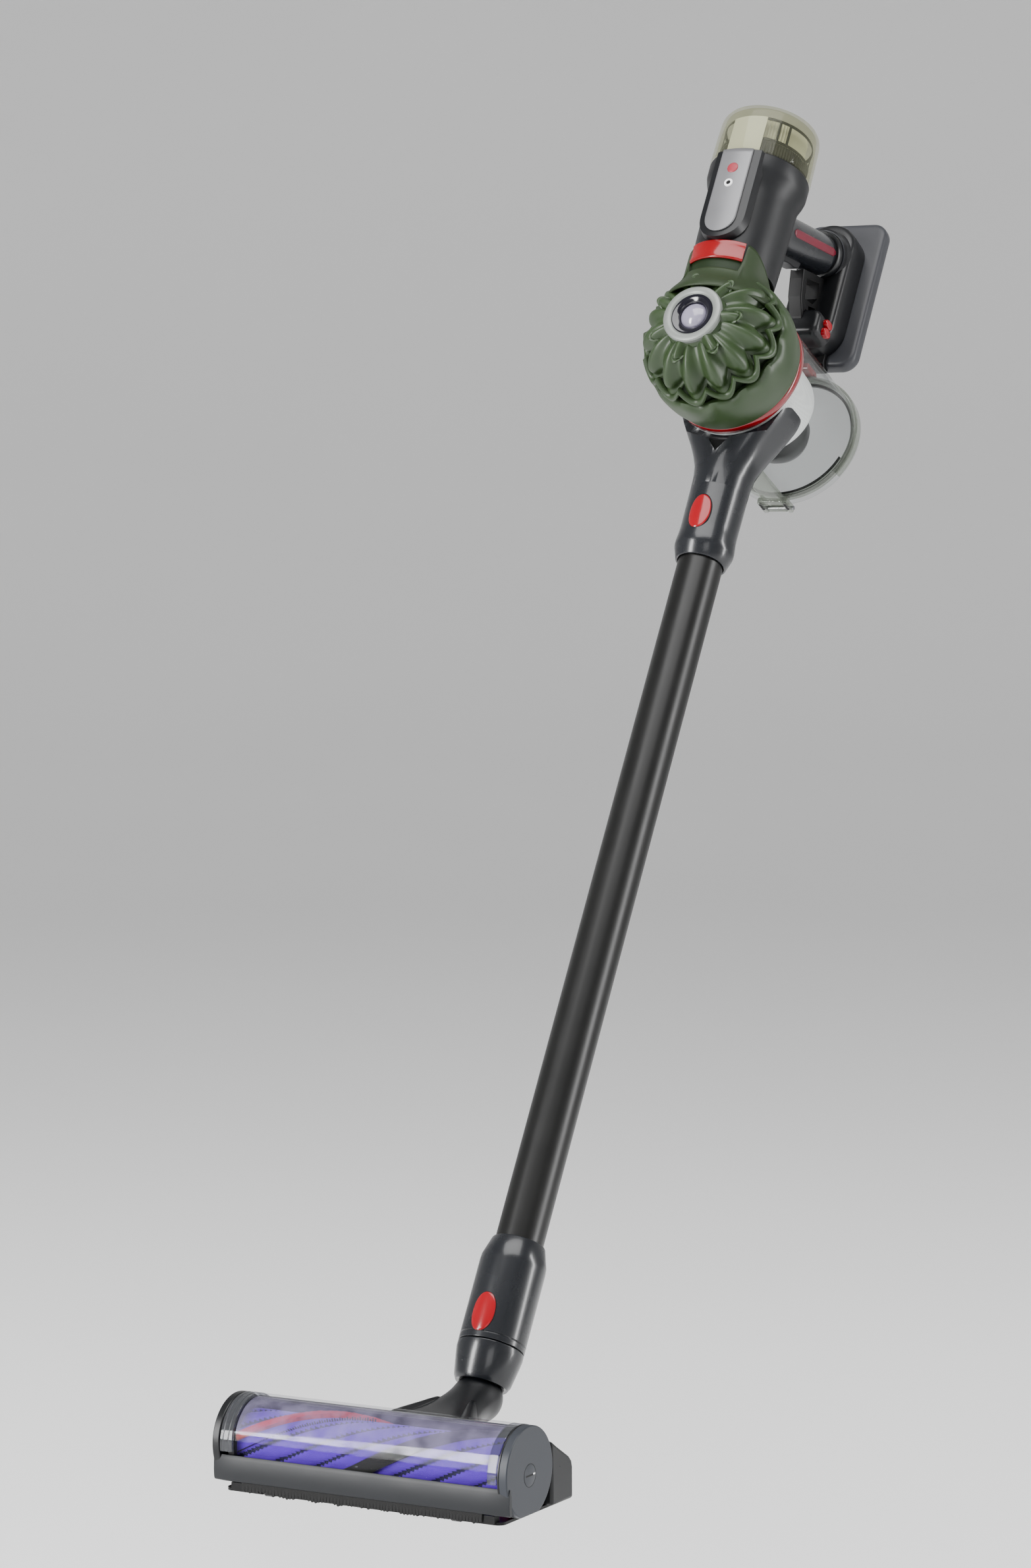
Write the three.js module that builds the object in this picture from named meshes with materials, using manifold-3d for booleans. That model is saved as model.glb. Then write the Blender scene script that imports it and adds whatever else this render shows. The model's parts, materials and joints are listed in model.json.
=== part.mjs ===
// Cordless stick vacuum, in millimetres, +Z up.
// The cleaner head stands on the floor with its width along X and its front towards -Y.
// The origin is the middle of the felt strip under the head, on the floor.
// The stick leans back over the head, in the plane X = 0.

import * as THREE from "three";
import { mergeVertices } from "three/addons/utils/BufferGeometryUtils.js";
import Module from "manifold-3d";

const wasm = await Module();
wasm.setup();

// ---------- driving dimensions ----------

const HEAD_WIDTH = 252;
const WAND_LENGTH = 720;
const WAND_RADIUS = 18.9;
const WAND_WALL = 1.3;
const LEAN = THREE.MathUtils.degToRad(30.6);
const GAP = 0.3; // clearance between pieces that touch
const RUNNING = 0.5; // clearance between pieces that move on each other

// Cleaner head, in the object's own frame.
const ROLLER_Y = -42;
const ROLLER_Z = 33;
const PLUSH_RADIUS = 24.6;
const BRISTLE_RADIUS = 29.4;
const CORE_RADIUS = 20;
const CORE_WALL = 2.2;
const CHAMBER_RADIUS = 31.3;
const CHAMBER_Z = 35.3;
const WINDOW_RADIUS = 33.7;
const END_CAP_THICKNESS = 8;
const BUMPER_DEPTH = 7;
const BUMPER_TOP = 29;
const BUMPER_BOTTOM = 8.4;
const SOLE_TOP = 3.4;
const SOLE_BOTTOM = 1.2;
const BLOCK_BACK = 22;
const BLOCK_TOP = 50;
const CASTOR_RADIUS = 4;
const CASTOR_SPACING = 159;
const CASTOR_Y = -68;

// Neck: a ball under the wand and a barrel in the head, joined by a short arm.
const PITCH_Y = 16.025;
const PITCH_Z = 33.028;
const BALL_HEIGHT = 6;
const BALL_RADIUS = 19.8;
const ARM_LENGTH = 83.8;
const ARM_RISE = THREE.MathUtils.degToRad(11.8);
const NECK_Y = PITCH_Y + ARM_LENGTH * Math.cos(ARM_RISE) - BALL_HEIGHT * Math.sin(LEAN);
const NECK_Z = PITCH_Z + ARM_LENGTH * Math.sin(ARM_RISE) - BALL_HEIGHT * Math.cos(LEAN);
const BARREL_RADIUS = 16;
const BARREL_LENGTH = 80;
const PITCH_PIN_RADIUS = 5;
const AIRWAY_RADIUS = 11;

// Lower collar, up the stick from the neck origin.
const COLLAR_RADIUS = WAND_RADIUS + 7.1;
const CUP_BOTTOM = 16;
const CUP_TOP = 46;
const LOWER_STOP = 72;
const SOCKET_DEPTH = 60;
const BUTTON_HEIGHT = 33;
const BUTTON_WIDTH = 20;
const BUTTON_TRAVEL = 1.8;
const BUTTON_DEPTH = 3.9;

// Machine, up the stick from the lower end of its collar.
const DUCT_RADIUS = WAND_RADIUS + 6.1;
const BIN_RISE = 170;
const BIN_TILT = THREE.MathUtils.degToRad(2.5);
const LENS_B = -118;
const BIN_RADIUS = 58;
const BIN_WALL = 2.2;
const BIN_TOP = 98;
const BIN_LENGTH = 119;
const SHROUD_RADIUS = BIN_RADIUS - 13;
const SHROUD_END_RADIUS = SHROUD_RADIUS - 4;
const SHROUD_LENGTH = 98;
const SHROUD_WALL = 1.8;
const CYCLONE_RADIUS = 62;
const DOOR_RADIUS = 60.5;

const MOTOR_B = -70;
const MOTOR_FOOT = 231;
const MOTOR_TOP = 334;
const MOTOR_FOOT_RADIUS = 36.5;
const MOTOR_RADIUS = 38;
const MOTOR_TOP_RADIUS = 43;
const MOTOR_WALL = 2.6;
const CAP_HEIGHT = 48;
const CAP_WALL = 2;
const PANEL_WIDTH = 32;
const PANEL_B = -117.5;

const HANDLE_RADIUS = 18.5;
const HANDLE_SLOPE = THREE.MathUtils.degToRad(20.7);
const HANDLE_B = 3.4;
const HANDLE_RISE = 321.7;
const HANDLE_END = 62;
const BASE_B = 93;
const BASE_THICKNESS = 14;
const BASE_WIDTH = 79;
const BASE_LOW = 251;
const BASE_HIGH = 398;
const BATTERY_WIDTH = 52;
const BATTERY_LOW = 256;
const BATTERY_HIGH = 382;
const BATTERY_B = 68;
const TOWER_WIDTH = 46;
const TOWER_B = 47;
const TOWER_HEIGHT = 25;

// ---------- materials ----------

const matte = (color) => new THREE.MeshStandardMaterial({ color, roughness: 0.5, metalness: 0 });
const gloss = (color) => new THREE.MeshStandardMaterial({ color, roughness: 0.2, metalness: 0 });
const metal = (color) => new THREE.MeshStandardMaterial({ color, roughness: 0.3, metalness: 1 });
const clear = (color) =>
  new THREE.MeshStandardMaterial({ color, roughness: 0.05, transparent: true, opacity: 0.3 });

const CHARCOAL = 0x24262a;
const BLACK = 0x141416;
const GREY = 0x565b62;
const SILVER = 0xa8a9ac;
const OLIVE = 0x3d5230;
const RED = 0xd01020;
const PURPLE = 0x4b37be;

// ---------- solids ----------

// A closed geometry as a manifold-3d solid, moved by the matrices given, the last one first.
function solid(geometry, ...moves) {
  const plain = geometry.clone();
  plain.deleteAttribute("normal");
  plain.deleteAttribute("uv");
  for (const move of moves.toReversed()) plain.applyMatrix4(move);
  const merged = mergeVertices(plain, 1e-4);
  const corners = merged.index.array;
  const kept = [];
  for (let i = 0; i < corners.length; i += 3) {
    const [a, b, c] = corners.slice(i, i + 3);
    if (a !== b && b !== c && a !== c) kept.push(a, b, c);
  }
  const vertProperties = merged.attributes.position.array;
  const made = new wasm.Manifold(
    new wasm.Mesh({ numProp: 3, vertProperties, triVerts: new Uint32Array(kept) }),
  );
  if (made.volume() > 0) return made;
  kept.reverse();
  return new wasm.Manifold(
    new wasm.Mesh({ numProp: 3, vertProperties, triVerts: new Uint32Array(kept) }),
  );
}

const unite = (first, ...others) => others.reduce((whole, next) => whole.add(next), first);
const cut = (first, ...tools) => tools.reduce((whole, tool) => whole.subtract(tool), first);
const keep = (first, ...tools) => tools.reduce((whole, tool) => whole.intersect(tool), first);

// The largest body, without the slivers that a cut can leave.
const largest = (made) => made.decompose().sort((a, b) => b.volume() - a.volume())[0];

function geometryOf(made) {
  const mesh = made.getMesh();
  const geometry = new THREE.BufferGeometry();
  geometry.setAttribute("position", new THREE.BufferAttribute(mesh.vertProperties, 3));
  geometry.setIndex(new THREE.BufferAttribute(mesh.triVerts, 1));
  geometry.computeVertexNormals();
  return geometry;
}

function place(group, name, made, material) {
  const mesh = new THREE.Mesh(geometryOf(made), material);
  mesh.name = name;
  group.add(mesh);
  return made;
}

const move = (x, y, z) => new THREE.Matrix4().makeTranslation(x, y, z);
const turnX = (angle) => new THREE.Matrix4().makeRotationX(angle);
const turnY = (angle) => new THREE.Matrix4().makeRotationY(angle);
const turnZ = (angle) => new THREE.Matrix4().makeRotationZ(angle);

// Revolves [radius, height] points about +Z; the profile closes on the axis or on itself.
function revolve(points, segments = 24) {
  const profile = points.map(([r, h]) => new THREE.Vector2(r, h));
  return new THREE.LatheGeometry(profile, segments).rotateX(Math.PI / 2);
}

const rod = (radius, low, high, segments = 24, topRadius = radius) =>
  revolve([[0, low], [radius, low], [topRadius, high], [0, high]], segments);

const ring = (outer, inner, low, high, segments = 24) =>
  revolve([[inner, low], [outer, low], [outer, high], [inner, high], [inner, low]], segments);

const box = (width, depth, height) => new THREE.BoxGeometry(width, depth, height);

const cuboid = (low, high) =>
  solid(
    box(high[0] - low[0], high[1] - low[1], high[2] - low[2]),
    move((low[0] + high[0]) / 2, (low[1] + high[1]) / 2, (low[2] + high[2]) / 2),
  );

const outline = (points) => new THREE.Shape(points.map(([x, y]) => new THREE.Vector2(x, y)));

const extrude = (shape, depth, bevel = 0) =>
  new THREE.ExtrudeGeometry(shape, {
    depth: depth - 2 * bevel,
    steps: 1,
    curveSegments: 5,
    bevelEnabled: bevel > 0,
    bevelSize: bevel,
    bevelThickness: bevel,
    bevelOffset: -bevel,
    bevelSegments: 2,
  }).translate(0, 0, bevel);

// A rectangle with round corners, centred on the origin.
function roundRectangle(width, height, radius) {
  const shape = new THREE.Shape();
  const x = width / 2 - radius;
  const y = height / 2 - radius;
  shape.absarc(x, y, radius, 0, Math.PI / 2);
  shape.absarc(-x, y, radius, Math.PI / 2, Math.PI);
  shape.absarc(-x, -y, radius, Math.PI, 1.5 * Math.PI);
  shape.absarc(x, -y, radius, 1.5 * Math.PI, 2 * Math.PI);
  shape.closePath();
  return shape;
}

// A side profile in (Y, Z), extruded along X from low to high.
const alongX = (shape, low, high, bevel = 0) =>
  solid(
    extrude(shape, high - low, bevel),
    move(low, 0, 0),
    new THREE.Matrix4().set(0, 0, 1, 0, 1, 0, 0, 0, 0, 1, 0, 0, 0, 0, 0, 1),
  );

// A rod or ring about an axis along X, through (y, z).
const aboutX = (geometry, y, z, x = 0) => solid(geometry, move(x, y, z), turnY(Math.PI / 2));

// Faces -Y: a shape drawn in (X, Z), extruded towards +Y from y.
const alongY = (shape, y, depth, bevel = 0) =>
  solid(extrude(shape, depth, bevel), move(0, y + depth, 0), turnX(Math.PI / 2));

// ---------- groups ----------

const vacuum = new THREE.Group();
const head = new THREE.Group();
const stick = new THREE.Group();
stick.position.set(0, NECK_Y, NECK_Z);
stick.rotation.x = -LEAN;
vacuum.add(head, stick);

const machineRise = LOWER_STOP + WAND_LENGTH - SOCKET_DEPTH;
const machine = new THREE.Group();
machine.position.z = machineRise;
stick.add(machine);

// The bin group's +Z runs from the lens to the door, and its +Y points down the stick.
const bin = new THREE.Group();
bin.position.set(0, LENS_B, BIN_RISE);
bin.rotation.x = BIN_TILT - Math.PI / 2;
machine.add(bin);
bin.updateMatrix();

const motor = new THREE.Group();
motor.position.y = MOTOR_B;
machine.add(motor);
motor.updateMatrix();

// The handle group's +Z runs along the grip from the motor to the battery.
const handle = new THREE.Group();
handle.position.set(0, HANDLE_B, HANDLE_RISE);
handle.rotation.x = HANDLE_SLOPE - Math.PI / 2;
machine.add(handle);
handle.updateMatrix();

const ballY = NECK_Y + BALL_HEIGHT * Math.sin(LEAN);
const ballZ = NECK_Z + BALL_HEIGHT * Math.cos(LEAN);

// The arm group's +Y runs from the pitch barrel to the ball.
const arm = new THREE.Group();
arm.position.set(0, ballY - ARM_LENGTH * Math.cos(ARM_RISE), ballZ - ARM_LENGTH * Math.sin(ARM_RISE));
arm.rotation.x = ARM_RISE;
vacuum.add(arm);

// ---------- cleaner head ----------

const headHalf = HEAD_WIDTH / 2;
const capInner = headHalf - END_CAP_THICKNESS - 1;
const leftInner = -(headHalf - 7);
const pitchY = arm.position.y;
const pitchZ = arm.position.z;
const barrelHalf = BARREL_LENGTH / 2;

function buildHousing() {
  const wide = outline([
    [-13, SOLE_TOP + GAP],
    [BLOCK_BACK, SOLE_TOP + GAP],
    [BLOCK_BACK, 27],
    [BLOCK_BACK - 1.5, 32],
    [BLOCK_BACK - 5, 35],
    [-12, BLOCK_TOP],
    [-15, BLOCK_TOP],
  ]);
  const bridge = outline([
    [-22, SOLE_TOP + GAP],
    [0, SOLE_TOP + GAP],
    [0, 40],
    [-8, BLOCK_TOP],
    [-13, 56.5],
    [-19.4, 61.6],
    [-22.5, 59],
  ]);
  const chamber = unite(
    aboutX(rod(CHAMBER_RADIUS, leftInner, capInner, 36), ROLLER_Y, CHAMBER_Z),
    aboutX(rod(BRISTLE_RADIUS + 1.2, leftInner, capInner, 36), ROLLER_Y, ROLLER_Z),
  );
  const bosses = aboutX(rod(PITCH_PIN_RADIUS + 4.5, -barrelHalf - 16, barrelHalf + 16), pitchY, pitchZ);
  const notch = cuboid([-barrelHalf - 1, pitchY, 14], [barrelHalf + 1, BLOCK_BACK + 5, 90]);
  const seat = aboutX(rod(BARREL_RADIUS + 1, -barrelHalf - 1, barrelHalf + 1), pitchY, pitchZ);
  const above = cuboid([-barrelHalf - 1, pitchY - 13, pitchZ + 6], [barrelHalf + 1, BLOCK_BACK, 90]);
  const duct = cuboid([-24, -40, 21], [24, pitchY, 40]);
  const pins = aboutX(rod(PITCH_PIN_RADIUS + GAP, -barrelHalf - 12, barrelHalf + 12, 20), pitchY, pitchZ);
  const endRelief = aboutX(ring(80, WINDOW_RADIUS + 0.4, -headHalf, headHalf, 36), ROLLER_Y, CHAMBER_Z);
  const lip = cut(alongX(bridge, leftInner + 7, capInner - GAP), endRelief.subtract(
    cuboid([-headHalf, -14, 0], [headHalf, 60, 80])));
  const block = alongX(wide, -headHalf + 1, headHalf - 1, 0.8);
  const discs = aboutX(rod(WINDOW_RADIUS + 0.8, -headHalf, headHalf, 36), ROLLER_Y, CHAMBER_Z);
  return cut(unite(block.subtract(discs), lip, bosses), chamber, notch, seat, above, duct, pins);
}
place(head, "head_housing", buildHousing(), matte(CHARCOAL));

const bumperY = ROLLER_Y - WINDOW_RADIUS + 0.7;

function castorSlots() {
  return [-1, 1].map((side) =>
    cuboid([(side * CASTOR_SPACING) / 2 - 5, -80, 0], [(side * CASTOR_SPACING) / 2 + 5, CASTOR_Y + 5.2, 8.7]));
}

function buildSole() {
  const plate = solid(extrude(roundRectangle(HEAD_WIDTH - 16, 100, 6), SOLE_TOP - SOLE_BOTTOM),
    move(0, -20, SOLE_BOTTOM));
  const mouth = solid(extrude(roundRectangle(HEAD_WIDTH - 44, 42, 5), 20), move(0, -38, -5));
  const lip = cuboid([leftInner + 8, bumperY + 3, SOLE_BOTTOM + 1], [capInner - 4, -65, BUMPER_BOTTOM - GAP]);
  return cut(unite(plate.subtract(mouth), lip), ...castorSlots());
}
place(head, "sole_plate", buildSole(), matte(BLACK));

place(head, "felt_strip", cuboid([-60, -6, 0], [60, 6, SOLE_BOTTOM - GAP]), matte(BLACK));

function buildBumper() {
  const profile = outline([
    [bumperY, BUMPER_BOTTOM + 1.5],
    [bumperY + 2, BUMPER_BOTTOM],
    [bumperY + BUMPER_DEPTH, BUMPER_BOTTOM],
    [bumperY + BUMPER_DEPTH, 20],
    [bumperY + 3, BUMPER_TOP],
    [bumperY + 0.8, BUMPER_TOP - 1],
    [bumperY, BUMPER_TOP - 4],
  ]);
  const chamber = aboutX(rod(CHAMBER_RADIUS, -headHalf + 3, headHalf - 3, 36), ROLLER_Y, CHAMBER_Z);
  return cut(alongX(profile, -headHalf, headHalf, 0.6), chamber);
}

place(head, "front_bumper", cut(buildBumper(), ...castorSlots()), matte(GREY));

for (const [side, name] of [[-1, "left"], [1, "right"]]) {
  const x = (side * CASTOR_SPACING) / 2;
  const wheel = unite(
    aboutX(rod(CASTOR_RADIUS, -3, 3, 20), CASTOR_Y, CASTOR_RADIUS, x),
    aboutX(rod(1.5, -4.7, 4.7, 12), CASTOR_Y, CASTOR_RADIUS, x),
  );
  place(head, "castor_" + name, wheel, matte(BLACK));
}

// The window is an arc of sheet about the roller, from the bumper over the top to the housing's lip.
function buildWindow() {
  const from = THREE.MathUtils.degToRad(52);
  const to = THREE.MathUtils.degToRad(188);
  const shape = new THREE.Shape();
  shape.absarc(ROLLER_Y, CHAMBER_Z, WINDOW_RADIUS, from, to);
  shape.absarc(ROLLER_Y, CHAMBER_Z, CHAMBER_RADIUS + 0.4, to, from, true);
  shape.closePath();
  const sheet = new THREE.ExtrudeGeometry(shape, {
    depth: capInner - leftInner - 2 * GAP, steps: 1, curveSegments: 20, bevelEnabled: false });
  const turned = new THREE.Matrix4().set(0, 0, 1, 0, 1, 0, 0, 0, 0, 1, 0, 0, 0, 0, 0, 1);
  const bumperZone = cuboid([-200, -120, 0], [200, bumperY + BUMPER_DEPTH, BUMPER_TOP + GAP]);
  return cut(solid(sheet, move(leftInner + GAP, 0, 0), turned), bumperZone);
}
place(head, "clear_window", buildWindow(), clear(0xdfe3e6));

const floorTrim = cuboid([-200, -200, -10], [200, 200, SOLE_TOP + GAP]);
const bumperTrim = cuboid([-200, -120, 0], [200, bumperY + BUMPER_DEPTH + GAP, BUMPER_TOP + GAP]);
const lipTrim = cuboid([-200, -120, 0], [200, bumperY + 15 + GAP, BUMPER_BOTTOM + GAP]);

function buildEndCap() {
  const disc = aboutX(rod(WINDOW_RADIUS, 0, END_CAP_THICKNESS, 36), ROLLER_Y, CHAMBER_Z, capInner);
  const recess = aboutX(rod(8.4, 2, END_CAP_THICKNESS + 1, 24), ROLLER_Y, ROLLER_Z, capInner);
  const bearingSeat = aboutX(rod(3.4, -1, 1.6, 16), ROLLER_Y, ROLLER_Z, capInner);
  return cut(disc, recess, bearingSeat, floorTrim, bumperTrim);
}
place(head, "end_cap", buildEndCap(), matte(GREY));

function buildCoinLock() {
  const knob = aboutX(rod(8, 0, 5.5, 24), ROLLER_Y, ROLLER_Z, capInner + 2.3);
  const slot = cuboid([capInner + 6, ROLLER_Y - 6.5, ROLLER_Z - 1], [capInner + 9, ROLLER_Y + 6.5, ROLLER_Z + 1]);
  return knob.subtract(slot);
}
place(head, "coin_lock", buildCoinLock(), matte(GREY));

function buildEndPlate() {
  const disc = aboutX(rod(WINDOW_RADIUS, 0, 6.2, 36), ROLLER_Y, CHAMBER_Z, -headHalf + 0.4);
  const hub = aboutX(rod(13, 6, 9, 24), ROLLER_Y, ROLLER_Z, -headHalf + 0.4);
  return cut(unite(disc, hub), floorTrim, bumperTrim, lipTrim);
}
place(head, "end_plate", buildEndPlate(), matte(BLACK));

// ---------- brush roller ----------

const rollerLow = -headHalf + 14;
const rollerHigh = capInner - 3;
const rollerLength = rollerHigh - rollerLow;
const TWIST = THREE.MathUtils.degToRad(250);

// A bar along the roller, twisted about the roller's axis as a bristle strip is.
function twistedBar(start, inner, outer, width, low, high) {
  const bar = new THREE.BoxGeometry(high - low, width, outer - inner, 28, 1, 1);
  bar.translate((low + high) / 2, 0, (inner + outer) / 2);
  const at = bar.attributes.position;
  for (let i = 0; i < at.count; i++) {
    const angle = start + (TWIST * (at.getX(i) - rollerLow)) / rollerLength;
    const y = at.getY(i) * Math.cos(angle) - at.getZ(i) * Math.sin(angle);
    const z = at.getY(i) * Math.sin(angle) + at.getZ(i) * Math.cos(angle);
    at.setXYZ(i, at.getX(i), y + ROLLER_Y, z + ROLLER_Z);
  }
  return solid(bar);
}
const STRIPS = [
  ["bristle_strip_red", THREE.MathUtils.degToRad(150), 3.2, RED],
  ["bristle_strip_black", THREE.MathUtils.degToRad(-30), 5.2, BLACK],
];

const core = aboutX(ring(CORE_RADIUS, CORE_RADIUS - CORE_WALL, rollerLow, rollerHigh), ROLLER_Y, ROLLER_Z);
place(head, "roller_core", core, gloss(PURPLE));

function buildPlush() {
  const sleeve = aboutX(
    ring(PLUSH_RADIUS, CORE_RADIUS + GAP, rollerLow + 1, rollerHigh - 1, 30), ROLLER_Y, ROLLER_Z);
  const grooves = STRIPS.map(([, start, width]) =>
    twistedBar(start, CORE_RADIUS + 1.6, BRISTLE_RADIUS + 2, width + 2 * RUNNING, rollerLow - 2, rollerHigh + 2));
  return cut(sleeve, ...grooves);
}
place(head, "roller_plush", buildPlush(), matte(PURPLE));

for (const [name, start, width, colour] of STRIPS)
  place(head, name,
    twistedBar(start, CORE_RADIUS + 2.1, BRISTLE_RADIUS, width, rollerLow + 1, rollerHigh - 1), matte(colour));

function buildDriveDog() {
  const plug = aboutX(rod(CORE_RADIUS - CORE_WALL - GAP, -13, -1, 24), ROLLER_Y, ROLLER_Z, rollerHigh);
  const spindle = aboutX(rod(3, -2, 4, 16), ROLLER_Y, ROLLER_Z, rollerHigh);
  const socket = aboutX(rod(3.4, -14, -6, 16), ROLLER_Y, ROLLER_Z, rollerHigh);
  return cut(unite(plug, spindle), socket);
}
place(head, "drive_dog", buildDriveDog(), matte(BLACK));

function buildBrushMotor() {
  const can = aboutX(rod(14, 0, 95, 24), ROLLER_Y, ROLLER_Z, rollerLow + 2);
  const gearbox = aboutX(rod(15.5, 95, 130, 24), ROLLER_Y, ROLLER_Z, rollerLow + 2);
  const shaft = aboutX(rod(3, 129, 216, 12), ROLLER_Y, ROLLER_Z, rollerLow + 2);
  const foot = aboutX(rod(8, -6.3, 0.5, 24), ROLLER_Y, ROLLER_Z, rollerLow + 2);
  return unite(can, gearbox, shaft, foot);
}
place(head, "brush_motor", buildBrushMotor(), metal(SILVER));

// ---------- neck ----------

function buildElbow() {
  const barrel = aboutX(rod(BARREL_RADIUS, -barrelHalf, barrelHalf), 0, 0);
  const ball = solid(new THREE.SphereGeometry(BALL_RADIUS, 24, 16), move(0, ARM_LENGTH, 0));
  const plan = outline([
    [-barrelHalf + 2, 0],
    [barrelHalf - 2, 0],
    [barrelHalf - 4, 17],
    [22, 44],
    [15.5, ARM_LENGTH - 8],
    [-15.5, ARM_LENGTH - 8],
    [-22, 44],
    [-barrelHalf + 4, 17],
  ]);
  const web = solid(extrude(plan, 25, 4), move(0, 0, -12));
  const along = solid(rod(AIRWAY_RADIUS, -20, ARM_LENGTH, 20), turnX(-Math.PI / 2));
  const up = solid(rod(AIRWAY_RADIUS, 0, 40, 20), move(0, ARM_LENGTH, 0), turnX(-LEAN - ARM_RISE));
  const trunnions = aboutX(rod(PITCH_PIN_RADIUS, -barrelHalf - 11, barrelHalf + 11, 20), 0, 0);
  const outer = cut(unite(barrel, ball, web), along, up);
  const throat = cuboid([-barrelHalf + 4, -20, -7], [barrelHalf - 4, 4, 7]);
  return cut(unite(outer, cut(trunnions, cuboid([-barrelHalf + 3, -9, -9], [barrelHalf - 3, 9, 9]))), throat);
}
place(arm, "neck_elbow", buildElbow(), matte(BLACK));

function buildCup() {
  const body = solid(revolve([
    [AIRWAY_RADIUS + 3, CUP_BOTTOM + 6],
    [20.4, CUP_BOTTOM],
    [22.4, CUP_BOTTOM + 4],
    [COLLAR_RADIUS, CUP_TOP - 4],
    [COLLAR_RADIUS, CUP_TOP],
    [AIRWAY_RADIUS + 3, CUP_TOP],
    [AIRWAY_RADIUS + 3, CUP_BOTTOM + 6],
  ]));
  const seat = solid(new THREE.SphereGeometry(BALL_RADIUS + GAP, 24, 16), move(0, 0, BALL_HEIGHT));
  return body.subtract(seat);
}
place(stick, "swivel_cup", buildCup(), matte(CHARCOAL));

// A stadium-shaped push button on the front of a collar, its long side up the stick.
const buttonShape = (clearance) =>
  roundRectangle(BUTTON_WIDTH + 2 * clearance, BUTTON_HEIGHT + 2 * clearance, BUTTON_WIDTH / 2 + clearance);

const buttonPocket = (radius, rise) =>
  solid(extrude(buttonShape(RUNNING), 20), move(0, -radius + BUTTON_DEPTH, rise), turnX(Math.PI / 2));

function buildButton(radius, rise) {
  const back = -radius + BUTTON_DEPTH - BUTTON_TRAVEL - GAP;
  const cap = solid(extrude(buttonShape(0), 12), move(0, back, rise), turnX(Math.PI / 2));
  return keep(cap, solid(rod(radius + 0.4, rise - 40, rise + 40, 36)));
}

const HEAD_BUTTON_RISE = 67;
const lowerBore = WAND_RADIUS + RUNNING;
const lowerTop = LOWER_STOP + SOCKET_DEPTH;

function buildLowerCollar() {
  const body = solid(revolve([
    [AIRWAY_RADIUS + 3, CUP_TOP + GAP],
    [COLLAR_RADIUS, CUP_TOP + GAP],
    [COLLAR_RADIUS, lowerTop - 15],
    [20.6, lowerTop],
    [lowerBore, lowerTop],
    [lowerBore, LOWER_STOP],
    [AIRWAY_RADIUS + 3, LOWER_STOP - 3],
    [AIRWAY_RADIUS + 3, CUP_TOP + GAP],
  ], 30));
  return body.subtract(buttonPocket(COLLAR_RADIUS, HEAD_BUTTON_RISE));
}
place(stick, "lower_collar", buildLowerCollar(), matte(CHARCOAL));
place(stick, "head_release_button", buildButton(COLLAR_RADIUS, HEAD_BUTTON_RISE), gloss(RED));

// ---------- wand ----------

const wand = solid(
  ring(WAND_RADIUS, WAND_RADIUS - WAND_WALL, LOWER_STOP + GAP, LOWER_STOP + WAND_LENGTH - GAP, 30));
place(stick, "wand_tube", wand, metal(BLACK));

// ---------- inlet duct ----------

const binCentreY = BIN_RADIUS + GAP;
const WAND_BUTTON_RISE = 38;
const FORK_REACH = 50;

function buildDuct() {
  const collar = solid(revolve([
    [lowerBore, 0],
    [21.5, 0],
    [DUCT_RADIUS, 12],
    [DUCT_RADIUS, 17],
    [DUCT_RADIUS - 1.4, 26],
    [DUCT_RADIUS - 0.6, 100],
    [0, 100],
    [0, SOCKET_DEPTH + 3],
    [lowerBore - 3, SOCKET_DEPTH],
    [lowerBore, SOCKET_DEPTH],
    [lowerBore, 0],
  ], 30));
  const fork = outline([
    [-21, 72],
    [21, 72],
    [26, 92],
    [FORK_REACH, 142],
    [FORK_REACH + 1.5, 152],
    [-FORK_REACH - 1.5, 152],
    [-FORK_REACH, 142],
    [-26, 92],
  ]);
  const flare = solid(extrude(fork, 50, 6), move(0, 25, 0), turnX(Math.PI / 2));
  const recess = outline([[0, 94], [27, 128], [27, 160], [-27, 160], [-27, 128]]);
  const valley = solid(extrude(recess, 10), move(0, -DUCT_RADIUS + 6, 0), turnX(Math.PI / 2));
  const binSpace = solid(rod(BIN_RADIUS + GAP, 70, 240, 44), bin.matrix);
  const coneSpace = solid(rod(CYCLONE_RADIUS + 4, -20, BIN_TOP + 2, 44), bin.matrix);
  const bore = solid(rod(14, SOCKET_DEPTH, 160, 24));
  const pocket = buttonPocket(DUCT_RADIUS - 0.8, WAND_BUTTON_RISE);
  return cut(unite(collar, flare), valley, binSpace, coneSpace, bore, pocket);
}
place(machine, "inlet_duct", buildDuct(), matte(CHARCOAL));
place(machine, "wand_release_button", buildButton(DUCT_RADIUS - 0.8, WAND_BUTTON_RISE), gloss(RED));

// ---------- bin ----------

const binEnd = BIN_TOP + BIN_LENGTH;
const inletZ = -LENS_B;
const port = solid(rod(14.2, 0, 80, 24), move(0, 0, inletZ), turnX(-Math.PI / 2));

const binWall = cut(
  solid(ring(BIN_RADIUS, BIN_RADIUS - BIN_WALL, BIN_TOP + GAP, binEnd, 44)),
  port,
);
place(bin, "bin_wall", binWall, clear(0xf0f2f2));

place(bin, "bin_ring", solid(ring(BIN_RADIUS + 0.8, BIN_RADIUS - 4, BIN_TOP - 8, BIN_TOP, 44)), gloss(RED));

const hingeY = DOOR_RADIUS + 5;
const hingeZ = binEnd - 1;
const RUNNER_LOW = 150;
const KNUCKLE = 9;
const PIN_RADIUS = 1.8;

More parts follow.
